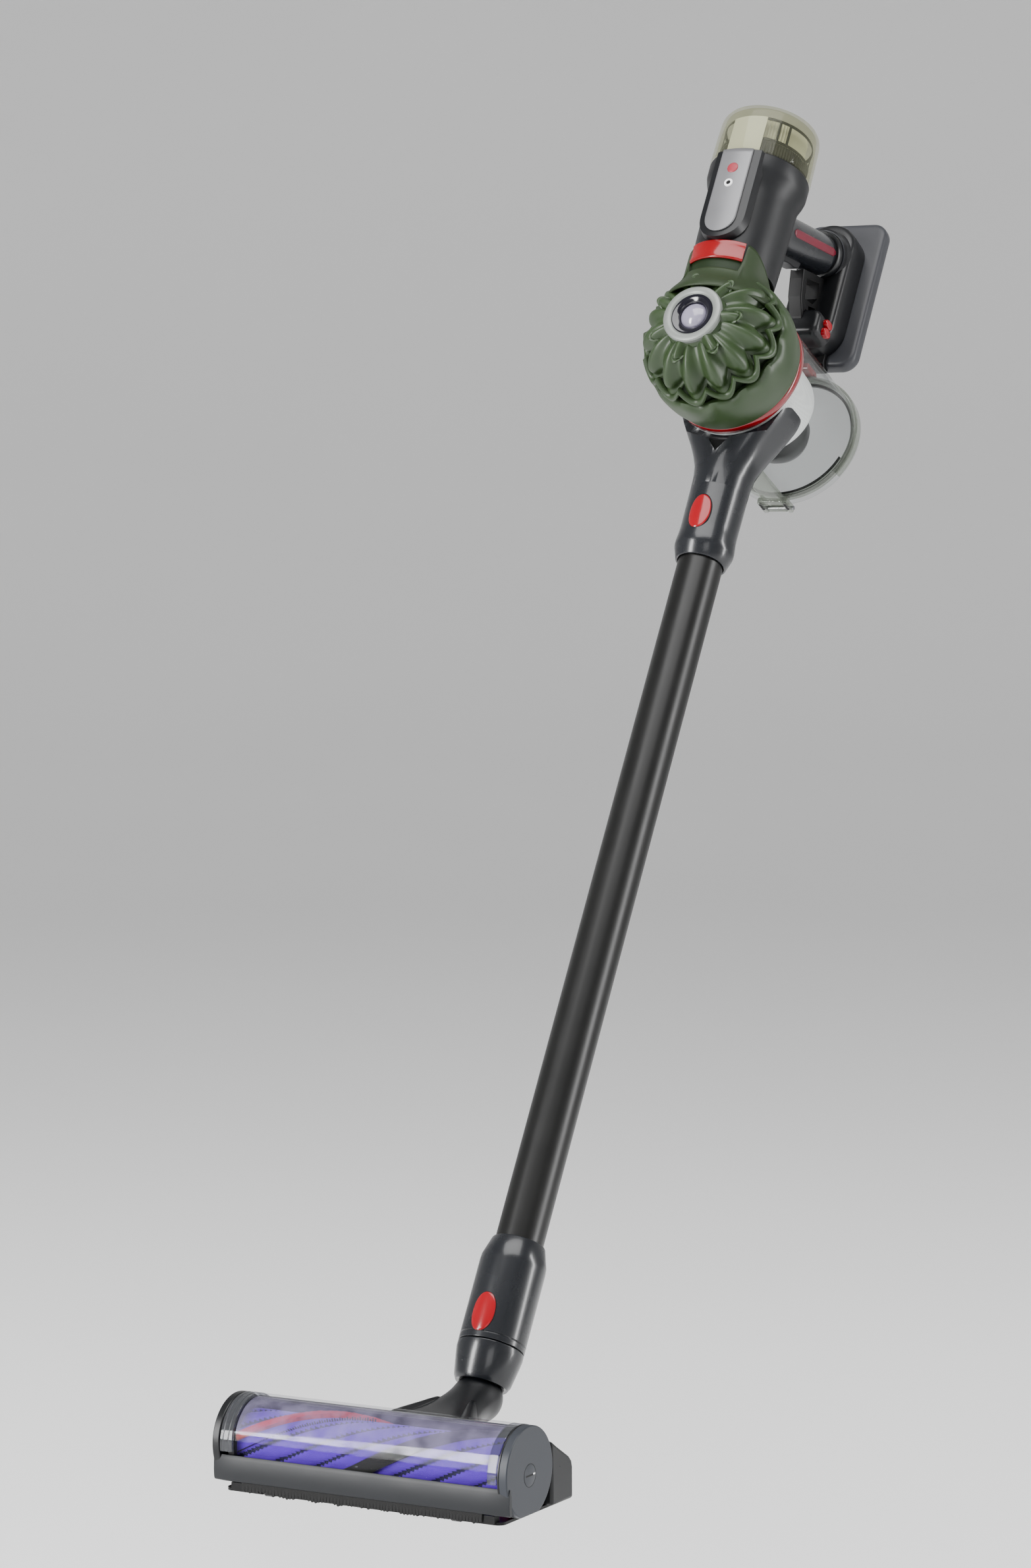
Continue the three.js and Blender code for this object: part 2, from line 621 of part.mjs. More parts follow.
function buildRunner() {
  const bar = cuboid([-9, binCentreY, RUNNER_LOW], [9, hingeY + 2, hingeZ - 7]);
  const bed = solid(rod(BIN_RADIUS + GAP, RUNNER_LOW - 5, binEnd + 10, 44));
  const ears = [-1, 1].map((side) =>
    cuboid([Math.min(side * KNUCKLE, side * (KNUCKLE + 5)), DOOR_RADIUS + 1.4, hingeZ - 14],
      [Math.max(side * KNUCKLE, side * (KNUCKLE + 5)), hingeY + 3.2, hingeZ + 3]));
  const foot = cuboid([-14, DOOR_RADIUS + 0.8, hingeZ - 14], [14, hingeY + 2, hingeZ - 7]);
  const bore = aboutX(rod(PIN_RADIUS + 0.3, -20, 20, 16), hingeY, hingeZ);
  return cut(unite(bar, foot, ...ears), bed, bore);
}
place(bin, "bin_runner", buildRunner(), clear(0xd8dcdc));
place(bin, "door_hinge_pin", aboutX(rod(PIN_RADIUS, -15, 15, 16), hingeY, hingeZ), metal(SILVER));

function buildDoor() {
  const dish = solid(revolve([
    [0, binEnd + GAP],
    [BIN_RADIUS + GAP, binEnd + GAP],
    [BIN_RADIUS + GAP, binEnd - 6],
    [DOOR_RADIUS, binEnd - 6],
    [DOOR_RADIUS, binEnd + 2.6],
    [DOOR_RADIUS - 2, binEnd + 4],
    [DOOR_RADIUS - 6, binEnd + 2.6],
    [0, binEnd + 2.6],
  ], 44));
  const knuckle = aboutX(rod(3.6, -KNUCKLE + GAP, KNUCKLE - GAP, 16), hingeY, hingeZ);
  const strap = cuboid([-KNUCKLE + GAP, DOOR_RADIUS - 2, hingeZ - 0.5], [KNUCKLE - GAP, hingeY, hingeZ + 3]);
  const hingeSide = cuboid([-60, 34, binEnd - 20], [60, DOOR_RADIUS + 1, binEnd + GAP]);
  const bore = aboutX(rod(PIN_RADIUS + 0.3, -20, 20, 16), hingeY, hingeZ);
  const bed = solid(rod(BIN_RADIUS + GAP, binEnd - 20, binEnd + GAP, 44));
  return cut(unite(dish.subtract(hingeSide), knuckle, strap), bore, bed);
}
place(bin, "bin_door", buildDoor(), clear(0xf0f2f2));

const seal = solid(ring(BIN_RADIUS - BIN_WALL - GAP, BIN_RADIUS - BIN_WALL - 3, binEnd - 3, binEnd, 36));
place(bin, "door_seal", seal, matte(BLACK));

function buildLatch() {
  const lever = cuboid([-8, -DOOR_RADIUS - 4.5, binEnd - 22], [8, -DOOR_RADIUS - 0.5, binEnd - 1]);
  const stem = cuboid([-6, -DOOR_RADIUS - 1, binEnd - 22], [6, -BIN_RADIUS + 2, binEnd - 8]);
  const bed = solid(rod(BIN_RADIUS + GAP, 0, 300, 44));
  return cut(unite(lever, stem), bed);
}
place(bin, "door_latch", buildLatch(), gloss(RED));

// ---------- cyclone ----------

const machineInBin = bin.matrix.clone().invert();
const NECK_START = 40;

// The neck from the cyclone up to the motor, behind the front of the outer cones.
function cycloneNeck(radius, top) {
  const tube = solid(rod(radius, BIN_RISE + 20, top), machineInBin, motor.matrix);
  return tube.subtract(cuboid([-90, -90, -90], [90, 90, NECK_START - radius + MOTOR_FOOT_RADIUS - 1]));
}

const motorRoom = solid(rod(MOTOR_FOOT_RADIUS + 1, MOTOR_FOOT - GAP, MOTOR_FOOT + 60), machineInBin, motor.matrix);

function buildCycloneBase() {
  const skirt = solid(revolve([
    [SHROUD_RADIUS, 58],
    [CYCLONE_RADIUS - 4, 58],
    [CYCLONE_RADIUS + 1, 66],
    [CYCLONE_RADIUS + 1, 72],
    [BIN_RADIUS + 0.6, BIN_TOP - 8 - GAP],
    [SHROUD_RADIUS, BIN_TOP - 8 - GAP],
    [SHROUD_RADIUS, 58],
  ], 40));
  const inside = solid(rod(SHROUD_RADIUS, -60, 200, 40));
  const airway = solid(rod(MOTOR_FOOT_RADIUS - 6, 0, MOTOR_FOOT + 5), machineInBin, motor.matrix);
  const shell = cut(cycloneNeck(MOTOR_FOOT_RADIUS - 1, MOTOR_FOOT - GAP), airway);
  return cut(unite(skirt, shell), inside, motorRoom);
}
place(bin, "cyclone_base", buildCycloneBase(), matte(OLIVE));

// Cones stand in a circle on a disc, each one narrower towards the lens.
function conesSolid(count, radius, coneRadius, low, high, wall = 0) {
  const cones = Array.from({ length: count }, (_, i) =>
    solid(rod(coneRadius * 0.82 - wall, low, high, 12, coneRadius - wall),
      turnZ(((i + 0.5) * 2 * Math.PI) / count), move(radius, 0, 0)));
  return unite(solid(rod(radius - wall, low, high, 28)), ...cones);
}
const CONE_WALL = 2.4;

// The cones are a shell that is open at the back.
const buildCones = (count, radius, coneRadius, low, high) =>
  conesSolid(count, radius, coneRadius, low, high).subtract(
    conesSolid(count, radius, coneRadius, low + CONE_WALL, high + 5, CONE_WALL));

const neckRoom = cycloneNeck(MOTOR_FOOT_RADIUS - 1 + GAP, MOTOR_FOOT + 5);
const outerShell = cut(conesSolid(14, 49, 12, 26, 57.7), neckRoom, motorRoom);
const outerHollow = cut(conesSolid(14, 49, 12, 26 + CONE_WALL, 70, CONE_WALL),
  cycloneNeck(MOTOR_FOOT_RADIUS + 2, MOTOR_FOOT + 5));
const outerCones = largest(outerShell.subtract(outerHollow));
place(bin, "cyclone_outer_cones", outerCones, matte(OLIVE));
const lensWell = solid(rod(18.8, -1, 9.4, 24));
const innerCones = largest(cut(
  unite(buildCones(10, 36, 10, 12, 25.7), solid(rod(27, 3.2, 12.5, 24, 33))),
  lensWell,
));
place(bin, "cyclone_inner_cones", innerCones, matte(OLIVE));
place(bin, "lens_ring", solid(revolve([
  [18.6, 0.8], [20, 0], [25, 0], [26, 1], [26, 2.8], [18.6, 2.8], [18.6, 0.8]], 30)), metal(SILVER));
place(bin, "lens_bezel", solid(revolve([
  [12, 1], [18.2, 0.6], [18.2, 9], [0, 9], [0, 5], [12, 4.2], [12, 1]], 30)), gloss(BLACK));
place(bin, "lens_dome", solid(revolve([[0, 4.2], [11.4, 3.6], [10.6, 1.8], [7, 0.2], [0, -0.6]], 28)), metal(SILVER));

const shroudTop = BIN_TOP - 6;
const shroudEnd = shroudTop + SHROUD_LENGTH;
place(bin, "shroud", solid(revolve([
  [SHROUD_RADIUS - SHROUD_WALL, 60],
  [SHROUD_RADIUS - GAP, 60],
  [SHROUD_RADIUS - GAP, shroudTop],
  [SHROUD_END_RADIUS, shroudEnd],
  [SHROUD_END_RADIUS - SHROUD_WALL, shroudEnd],
  [SHROUD_RADIUS - SHROUD_WALL, shroudTop],
  [SHROUD_RADIUS - SHROUD_WALL, 60],
], 36)), metal(0xd9d9d6));
place(bin, "shroud_boot", solid(revolve([
  [0, shroudEnd + 22],
  [20, shroudEnd + 20],
  [SHROUD_END_RADIUS - 12, shroudEnd + 10],
  [SHROUD_END_RADIUS - 6, shroudEnd - 8],
  [SHROUD_END_RADIUS - SHROUD_WALL - GAP - 0.5, shroudEnd - 8],
  [SHROUD_END_RADIUS - SHROUD_WALL - GAP - 0.2, shroudEnd + GAP],
  [SHROUD_END_RADIUS - 1, shroudEnd + GAP],
  [SHROUD_END_RADIUS - 8, shroudEnd + 14],
  [25, shroudEnd + 23],
  [14, shroudEnd + 26],
  [0, shroudEnd + 26],
], 28)), matte(BLACK));

// ---------- motor ----------

const motorBore = MOTOR_FOOT_RADIUS - MOTOR_WALL;
const LEVER_TOP = MOTOR_FOOT + 17;

function buildMotorHousing() {
  const can = solid(revolve([
    [12, MOTOR_FOOT],
    [MOTOR_FOOT_RADIUS, MOTOR_FOOT],
    [MOTOR_RADIUS, MOTOR_TOP - 28],
    [MOTOR_TOP_RADIUS, MOTOR_TOP - 5],
    [MOTOR_TOP_RADIUS, MOTOR_TOP],
    [motorBore, MOTOR_TOP],
    [motorBore, MOTOR_FOOT + 4],
    [12, MOTOR_FOOT + 4],
    [12, MOTOR_FOOT],
  ], 36));
  const front = PANEL_B - MOTOR_B;
  const plate = roundRectangle(PANEL_WIDTH + 12, MOTOR_TOP - LEVER_TOP + 20, 20);
  const boss = alongY(plate, front + 2.3, 40, 1.5);
  const middle = move(0, 0, (MOTOR_TOP + LEVER_TOP) / 2 + 10);
  const hollow = solid(rod(motorBore, MOTOR_FOOT + 4, MOTOR_TOP + 40, 36));
  const above = cuboid([-60, -60, MOTOR_TOP], [60, 60, MOTOR_TOP + 60]);
  const raised = cut(boss.transform(middle.elements), hollow, above);
  return cut(unite(can, raised), ...panelHoles());
}

const POWER_RISE = 314;
const MODE_RISE = 299;
const KEY_RADIUS = 5;
const MODE_RADIUS = 4;

const panelHole = (radius, rise, from, to) =>
  solid(rod(radius, 0, to - from, 20), move(0, to, rise), turnX(Math.PI / 2));

const panelHoles = () => [
  panelHole(KEY_RADIUS + RUNNING, POWER_RISE, -60, PANEL_B - MOTOR_B + 6),
  panelHole(MODE_RADIUS + RUNNING, MODE_RISE, -60, PANEL_B - MOTOR_B + 6),
];
place(motor, "motor_housing", buildMotorHousing(), matte(CHARCOAL));

function buildPanel() {
  const face = roundRectangle(PANEL_WIDTH, MOTOR_TOP - LEVER_TOP + 16, PANEL_WIDTH / 2);
  const plate = alongY(face, PANEL_B - MOTOR_B, 2, 0.5).transform(
    move(0, 0, (MOTOR_TOP + LEVER_TOP) / 2 + 12).elements);
  const above = cuboid([-60, -80, MOTOR_TOP - GAP], [60, 60, MOTOR_TOP + 60]);
  return cut(plate, above, ...panelHoles());
}
place(motor, "control_panel", buildPanel(), matte(SILVER));

const panelKey = (radius, rise) => panelHole(radius, rise, PANEL_B - MOTOR_B - 0.3, PANEL_B - MOTOR_B + 3.8);
place(motor, "power_button", panelKey(KEY_RADIUS, POWER_RISE), gloss(RED));
place(motor, "mode_button", panelKey(MODE_RADIUS, MODE_RISE), gloss(0xf2f2f2));

function buildLever() {
  const band = solid(ring(MOTOR_FOOT_RADIUS + 3.4, MOTOR_FOOT_RADIUS + 1, MOTOR_FOOT - 3, LEVER_TOP - 2, 40));
  const lip = solid(ring(MOTOR_FOOT_RADIUS + 5, MOTOR_FOOT_RADIUS + 1, MOTOR_FOOT - 3, MOTOR_FOOT + 1, 40));
  return keep(unite(band, lip), cuboid([-25, -80, 0], [25, 0, 400]));
}
place(motor, "bin_lever", buildLever(), gloss(RED));

const stator = solid(ring(26, 2.9, 262, 312));
const lugs = [0, 1, 2].map((i) =>
  solid(box(9.6, 10, 8), turnZ((i * 2 * Math.PI) / 3), move(motorBore - 1 - 4.8, 0, 300)));
place(motor, "vacuum_motor", unite(stator, ...lugs), metal(SILVER));
const blade = (i) => solid(box(15, 1.6, 8), turnZ((i * Math.PI) / 4), move(15, 0, 252));
place(motor, "impeller", unite(
  solid(rod(24, 244, 248, 24)),
  solid(rod(8, 247, 257, 24, 4)),
  solid(rod(2.5, 256, 308, 12)),
  ...Array.from({ length: 8 }, (_, i) => blade(i)),
), metal(SILVER));

// ---------- filter ----------

const capTop = MOTOR_TOP + CAP_HEIGHT;
place(motor, "filter_cap", solid(revolve([
  [MOTOR_TOP_RADIUS - CAP_WALL, MOTOR_TOP + GAP],
  [MOTOR_TOP_RADIUS + 0.4, MOTOR_TOP + GAP],
  [MOTOR_TOP_RADIUS - 0.4, capTop - 4],
  [MOTOR_TOP_RADIUS - 3.4, capTop - 0.6],
  [MOTOR_TOP_RADIUS - 6, capTop],
  [0, capTop],
  [0, capTop - CAP_WALL],
  [MOTOR_TOP_RADIUS - 6, capTop - CAP_WALL],
  [MOTOR_TOP_RADIUS - 3, capTop - 5],
  [MOTOR_TOP_RADIUS - CAP_WALL, MOTOR_TOP + GAP],
], 36)), clear(0xb9bba0));
place(motor, "filter_core", solid(ring(32, 20, MOTOR_TOP + 2, capTop - CAP_WALL - GAP, 28)), matte(0xd8d6c8));
place(motor, "filter_band", solid(ring(38, 32.6, MOTOR_TOP + 2, MOTOR_TOP + 13, 30)), matte(BLACK));
place(motor, "cap_panel", keep(
  solid(ring(38, 33.4, MOTOR_TOP + 13 + GAP, capTop - 7, 36)),
  cuboid([-17, -60, 300], [17, -10, 400]),
), metal(SILVER));

// ---------- handle ----------

const handleInverse = handle.matrix.clone().invert();
const motorSpace = solid(revolve([
  [0, MOTOR_FOOT - 20],
  [MOTOR_FOOT_RADIUS + GAP, MOTOR_FOOT - 20],
  [MOTOR_FOOT_RADIUS + GAP, MOTOR_FOOT],
  [MOTOR_RADIUS + GAP, MOTOR_TOP - 28],
  [MOTOR_TOP_RADIUS + GAP, MOTOR_TOP - 5],
  [MOTOR_TOP_RADIUS + GAP, MOTOR_TOP + 20],
  [0, MOTOR_TOP + 20],
], 36), handleInverse, motor.matrix);
const STRIPE_WIDTH = 7;
const STRIPE_START = -26;
const STRIPE_END = 54;

const stripeBlock = (side, clearance) =>
  cuboid(
    [Math.min(side * 12, side * 25), -STRIPE_WIDTH / 2 - clearance, STRIPE_START - clearance],
    [Math.max(side * 12, side * 25), STRIPE_WIDTH / 2 + clearance, STRIPE_END + clearance],
  );

const TRIGGER_START = -30;
const TRIGGER_END = 14;
const TRIGGER_TRAVEL = 4;
const triggerSlot = cuboid([-6.5, 6, TRIGGER_START - 1], [6.5, 40, TRIGGER_END + 1]);

function buildGrip() {
  const tube = solid(ring(HANDLE_RADIUS, 3, -60, HANDLE_END, 30));
  const stripes = [-1, 1].map((side) =>
    cut(stripeBlock(side, GAP), solid(rod(HANDLE_RADIUS - 1.4, -70, 90, 30))));
  return cut(tube, motorSpace, triggerSlot, ...stripes);
}
place(handle, "handle_grip", buildGrip(), matte(CHARCOAL));

for (const [side, name] of [[-1, "left"], [1, "right"]]) {
  const stripe = keep(
    stripeBlock(side, 0),
    solid(ring(HANDLE_RADIUS + 0.2, HANDLE_RADIUS - 1.1, -60, 80, 30)),
  );
  place(handle, "grip_stripe_" + name, stripe, gloss(RED));
}

function buildTrigger() {
  const side = outline([
    [HANDLE_RADIUS - 5, TRIGGER_START],
    [HANDLE_RADIUS - 5, TRIGGER_END],
    [HANDLE_RADIUS + 2, TRIGGER_END],
    [HANDLE_RADIUS + 6, TRIGGER_END - 6],
    [HANDLE_RADIUS + 4.6, (TRIGGER_START + TRIGGER_END) / 2],
    [HANDLE_RADIUS + 6, TRIGGER_START + 8],
    [HANDLE_RADIUS + 2, TRIGGER_START],
  ]);
  return alongX(side, -6, 6, 0.8);
}
place(handle, "trigger", buildTrigger(), matte(BLACK));
place(handle, "handle_collar", solid(revolve([
  [HANDLE_RADIUS + GAP, HANDLE_END - 7],
  [HANDLE_RADIUS + 2.2, HANDLE_END - 7],
  [HANDLE_RADIUS + 3.4, HANDLE_END - 4],
  [HANDLE_RADIUS + 3.4, HANDLE_END],
  [HANDLE_RADIUS + GAP, HANDLE_END],
  [HANDLE_RADIUS + GAP, HANDLE_END - 7],
], 30)), matte(BLACK));

// ---------- battery ----------

const baseMiddle = (BASE_LOW + BASE_HIGH) / 2;
const baseHeight = BASE_HIGH - BASE_LOW;
place(machine, "battery_base", alongY(roundRectangle(BASE_WIDTH, baseHeight, 14), BASE_B, BASE_THICKNESS, 5)
  .transform(move(0, 0, baseMiddle).elements), matte(GREY));

const batteryMiddle = (BATTERY_LOW + BATTERY_HIGH) / 2;
const stadium = (inset) =>
  roundRectangle(BATTERY_WIDTH - 2 * inset, BATTERY_HIGH - BATTERY_LOW - 2 * inset, BATTERY_WIDTH / 2 - inset);
const batterySolid = (inset, b, bevel) =>
  alongY(stadium(inset), b, 60, bevel).transform(move(0, 0, batteryMiddle).elements);

const handleSpace = solid(rod(HANDLE_RADIUS + 3.4 + GAP, -80, HANDLE_END + GAP, 30), handle.matrix);
const buttonB = (TOWER_B + 76) / 2;
const BUTTON_RISE = BATTERY_LOW + 12;

// The battery's outside, grown by a clearance where other pieces are cut to it.
function batteryShell(clearance) {
  const hood = keep(
    solid(rod(25 + clearance, HANDLE_END + GAP, HANDLE_END + 60, 30), handle.matrix),
    cuboid([-60, 0, 0], [60, BASE_B - 8, 500]),
  );
  const tower = alongY(roundRectangle(TOWER_WIDTH + 2 * clearance, TOWER_HEIGHT + 2 * clearance, 8),
    TOWER_B - clearance, 40, 4).transform(move(0, 0, BATTERY_LOW + TOWER_HEIGHT / 2).elements);
  const body = batterySolid(-clearance, BATTERY_B - clearance, 4);
  const front = cuboid([-60, 0, 0], [60, BASE_B - GAP, 500]);
  return keep(unite(body, tower, hood), front);
}

function buildBatteryBody() {
  const cells = batterySolid(3, BATTERY_B + 4, 0);
  const pockets = [-1, 1].map((side) =>
    aboutX(rod(7 + RUNNING, -4, 20), buttonB, BUTTON_RISE, side > 0 ? TOWER_WIDTH / 2 : -TOWER_WIDTH / 2 - 16));
  return cut(batteryShell(0), handleSpace, cells, ...pockets);
}
place(machine, "battery_body", buildBatteryBody(), matte(BLACK));

for (const [side, name] of [[-1, "left"], [1, "right"]]) {
  const key = aboutX(rod(7, 0, 5, 24), buttonB, BUTTON_RISE, side > 0 ? TOWER_WIDTH / 2 - 1 : -TOWER_WIDTH / 2 - 4);
  const groove = cuboid([side * (TOWER_WIDTH / 2 + 4) - 1, buttonB - 9, BUTTON_RISE - 0.6],
    [side * (TOWER_WIDTH / 2 + 4) + 1, buttonB + 9, BUTTON_RISE + 0.6]);
  place(machine, "battery_button_" + name, key.subtract(groove), gloss(RED));
}

const cell = (x) => solid(rod(9.2, batteryMiddle - 33, batteryMiddle + 33, 20), move(x, BASE_B - GAP - 9.2, 0));
place(machine, "battery_cells", unite(
  cell(-10), cell(10), cuboid([-14, BASE_B - 11, batteryMiddle - 30], [14, BASE_B - 8, batteryMiddle + 30]),
), metal(0x3c7ab0));

function buildGuard() {
  const loop = outline([
    [24, 325], [31, 301], [36, 286], [46, 272], [50, 262], [75, 262], [75, 345], [45, 345]]);
  const upper = outline([[38, 305], [61, 314.5], [64, 301], [58, 291.5], [43, 288]]);
  const lower = outline([[52, 286], [64, 291], [64.5, 285], [54, 281.5]]);
  const windows = [upper, lower].map((shape) => alongX(shape, -20, 20));
  const grip = solid(rod(HANDLE_RADIUS + GAP, -80, 200, 30), handle.matrix);
  return cut(alongX(loop, -6.5, 6.5, 1), ...windows, batteryShell(GAP), grip, handleSpace);
}
place(machine, "trigger_guard", buildGuard(), matte(BLACK));

export default vacuum;
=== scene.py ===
"""The looks of a cordless stick vacuum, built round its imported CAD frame."""

from __future__ import annotations

import json
import logging
import math
from collections.abc import Sequence
from dataclasses import dataclass, field
from enum import Enum

import bmesh
import bpy
from mathutils import Matrix, Vector, noise


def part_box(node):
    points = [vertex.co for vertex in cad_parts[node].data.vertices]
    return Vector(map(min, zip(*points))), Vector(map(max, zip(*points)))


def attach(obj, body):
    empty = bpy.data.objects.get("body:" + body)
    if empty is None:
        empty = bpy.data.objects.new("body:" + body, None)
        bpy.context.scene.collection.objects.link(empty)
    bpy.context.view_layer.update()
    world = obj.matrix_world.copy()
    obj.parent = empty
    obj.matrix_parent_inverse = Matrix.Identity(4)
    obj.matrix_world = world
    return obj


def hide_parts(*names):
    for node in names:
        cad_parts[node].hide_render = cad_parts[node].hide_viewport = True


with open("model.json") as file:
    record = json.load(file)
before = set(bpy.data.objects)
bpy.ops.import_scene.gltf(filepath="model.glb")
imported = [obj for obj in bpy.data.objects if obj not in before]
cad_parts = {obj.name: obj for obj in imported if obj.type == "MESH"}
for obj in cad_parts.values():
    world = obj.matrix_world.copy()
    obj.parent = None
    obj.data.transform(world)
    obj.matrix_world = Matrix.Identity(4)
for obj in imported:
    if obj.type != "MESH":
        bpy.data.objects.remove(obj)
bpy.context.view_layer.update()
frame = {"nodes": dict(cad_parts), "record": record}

LOG = logging.getLogger("vacuum")
MM = 0.001

MERGE_DISTANCE = 0.001
SLIVER_LENGTH = 0.0005
EDGE_ANGLE = math.radians(32)
EDGE_SEGMENTS = 3
BAKED_SHARP_ANGLE = math.radians(30)

Point = tuple[float, float, float]
Colour = tuple[float, float, float]
Profile = list[tuple[float, float]]
Rows = list[list[Point]]


# ---------------------------------------------------------------- local axes


@dataclass(frozen=True)
class Axes:
    """Local axes of a sub-assembly, in which lengths are in millimetres."""

    origin: Vector
    up: Vector
    across: Vector = Vector((1, 0, 0))

    def matrix(self) -> Matrix:
        """Returns the matrix from local millimetres to metres of the object."""
        side = self.up.cross(self.across)
        turn = Matrix((self.across, side, self.up)).transposed()
        return Matrix.Translation(self.origin) @ turn.to_4x4() @ Matrix.Scale(MM, 4)

    def moved(self, x: float, y: float, z: float) -> Axes:
        """Returns the same axes with the origin moved by local millimetres."""
        return Axes(self.matrix() @ Vector((x, y, z)), self.up, self.across)


class Datums:
    """The axes of each sub-assembly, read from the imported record's joints and mounts."""

    BALL_HEIGHT = 6
    IMPELLER_HEIGHT = 280
    MOTOR_BACK = 70
    GRIP_POINT = 10
    LENS_MIDDLE = 1.4

    def __init__(self, record: dict) -> None:
        """Reads the joints.

        Args:
            record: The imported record.
        """
        joints = {joint["name"]: joint for joint in record["behaviour"]["joints"]}
        mounts = {mount["name"]: mount for mount in record["mounts"]}

        def axis(name: str) -> Vector:
            """Returns a joint's direction."""
            return Vector(joints[name]["axis"])

        def place(name: str) -> Vector:
            """Returns a point on a joint's axis, in metres."""
            return Vector(joints[name]["pos_m"])

        up = -axis("wand_pull")
        self.head = Axes(Vector((0, 0, 0)), Vector((0, 0, 1)))
        self.roller = Axes(place("roller_spin"), Vector((1, 0, 0)), Vector((0, 1, 0)))
        self.stick = Axes(place("neck_swivel"), up).moved(0, 0, -self.BALL_HEIGHT)
        arm_side = Vector((1, 0, 0)).cross(axis("neck_swivel"))
        self.arm = Axes(place("head_pitch"), arm_side)
        self.motor = Axes(place("impeller_spin"), up).moved(0, 0, -self.IMPELLER_HEIGHT)
        self.machine = self.motor.moved(0, self.MOTOR_BACK, 0)
        low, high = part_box("lens_ring")
        self.bin = Axes((low + high) / 2, axis("bin_slide")).moved(0, 0, -self.LENS_MIDDLE)
        grip_down = -axis("trigger_squeeze")
        grip_along = Vector((1, 0, 0)).cross(grip_down)
        self.handle = Axes(Vector(mounts["hand_grip"]["pos_m"]), grip_along).moved(
            0, 0, -self.GRIP_POINT
        )


# ---------------------------------------------------------------- shader expressions


class Value:
    """A number or vector that a shader works out, usable in Python arithmetic."""

    def __init__(self, paint: Paint, socket: bpy.types.NodeSocket) -> None:
        """Wraps a socket.

        Args:
            paint: The material the socket belongs to.
            socket: The output socket.
        """
        self.paint = paint
        self.socket = socket

    def _math(self, operation: str, first: object, second: object = 0.0) -> Value:
        """Adds a Math node and returns its value."""
        return self.paint.node(
            "ShaderNodeMath", {"operation": operation}, {0: first, 1: second}
        )

    def __add__(self, other: object) -> Value:
        """Returns self + other."""
        return self._math("ADD", self, other)

    __radd__ = __add__

    def __sub__(self, other: object) -> Value:
        """Returns self - other."""
        return self._math("SUBTRACT", self, other)

    def __rsub__(self, other: object) -> Value:
        """Returns other - self."""
        return self._math("SUBTRACT", other, self)

    def __mul__(self, other: object) -> Value:
        """Returns self * other."""
        return self._math("MULTIPLY", self, other)

    __rmul__ = __mul__

    def __truediv__(self, other: object) -> Value:
        """Returns self / other."""
        return self._math("DIVIDE", self, other)

    def __pow__(self, power: object) -> Value:
        """Returns self to a power."""
        return self._math("POWER", self, power)

    def wave(self) -> Value:
        """Returns the sine of self."""
        return self._math("SINE", self)

    def ramp(self, low: float, high: float) -> Value:
        """Returns 0 below low and 1 above high, with a soft change between."""
        settings = {"interpolation_type": "SMOOTHSTEP"}
        return self.paint.node(
            "ShaderNodeMapRange", settings, {"Value": self, "From Min": low, "From Max": high}
        )


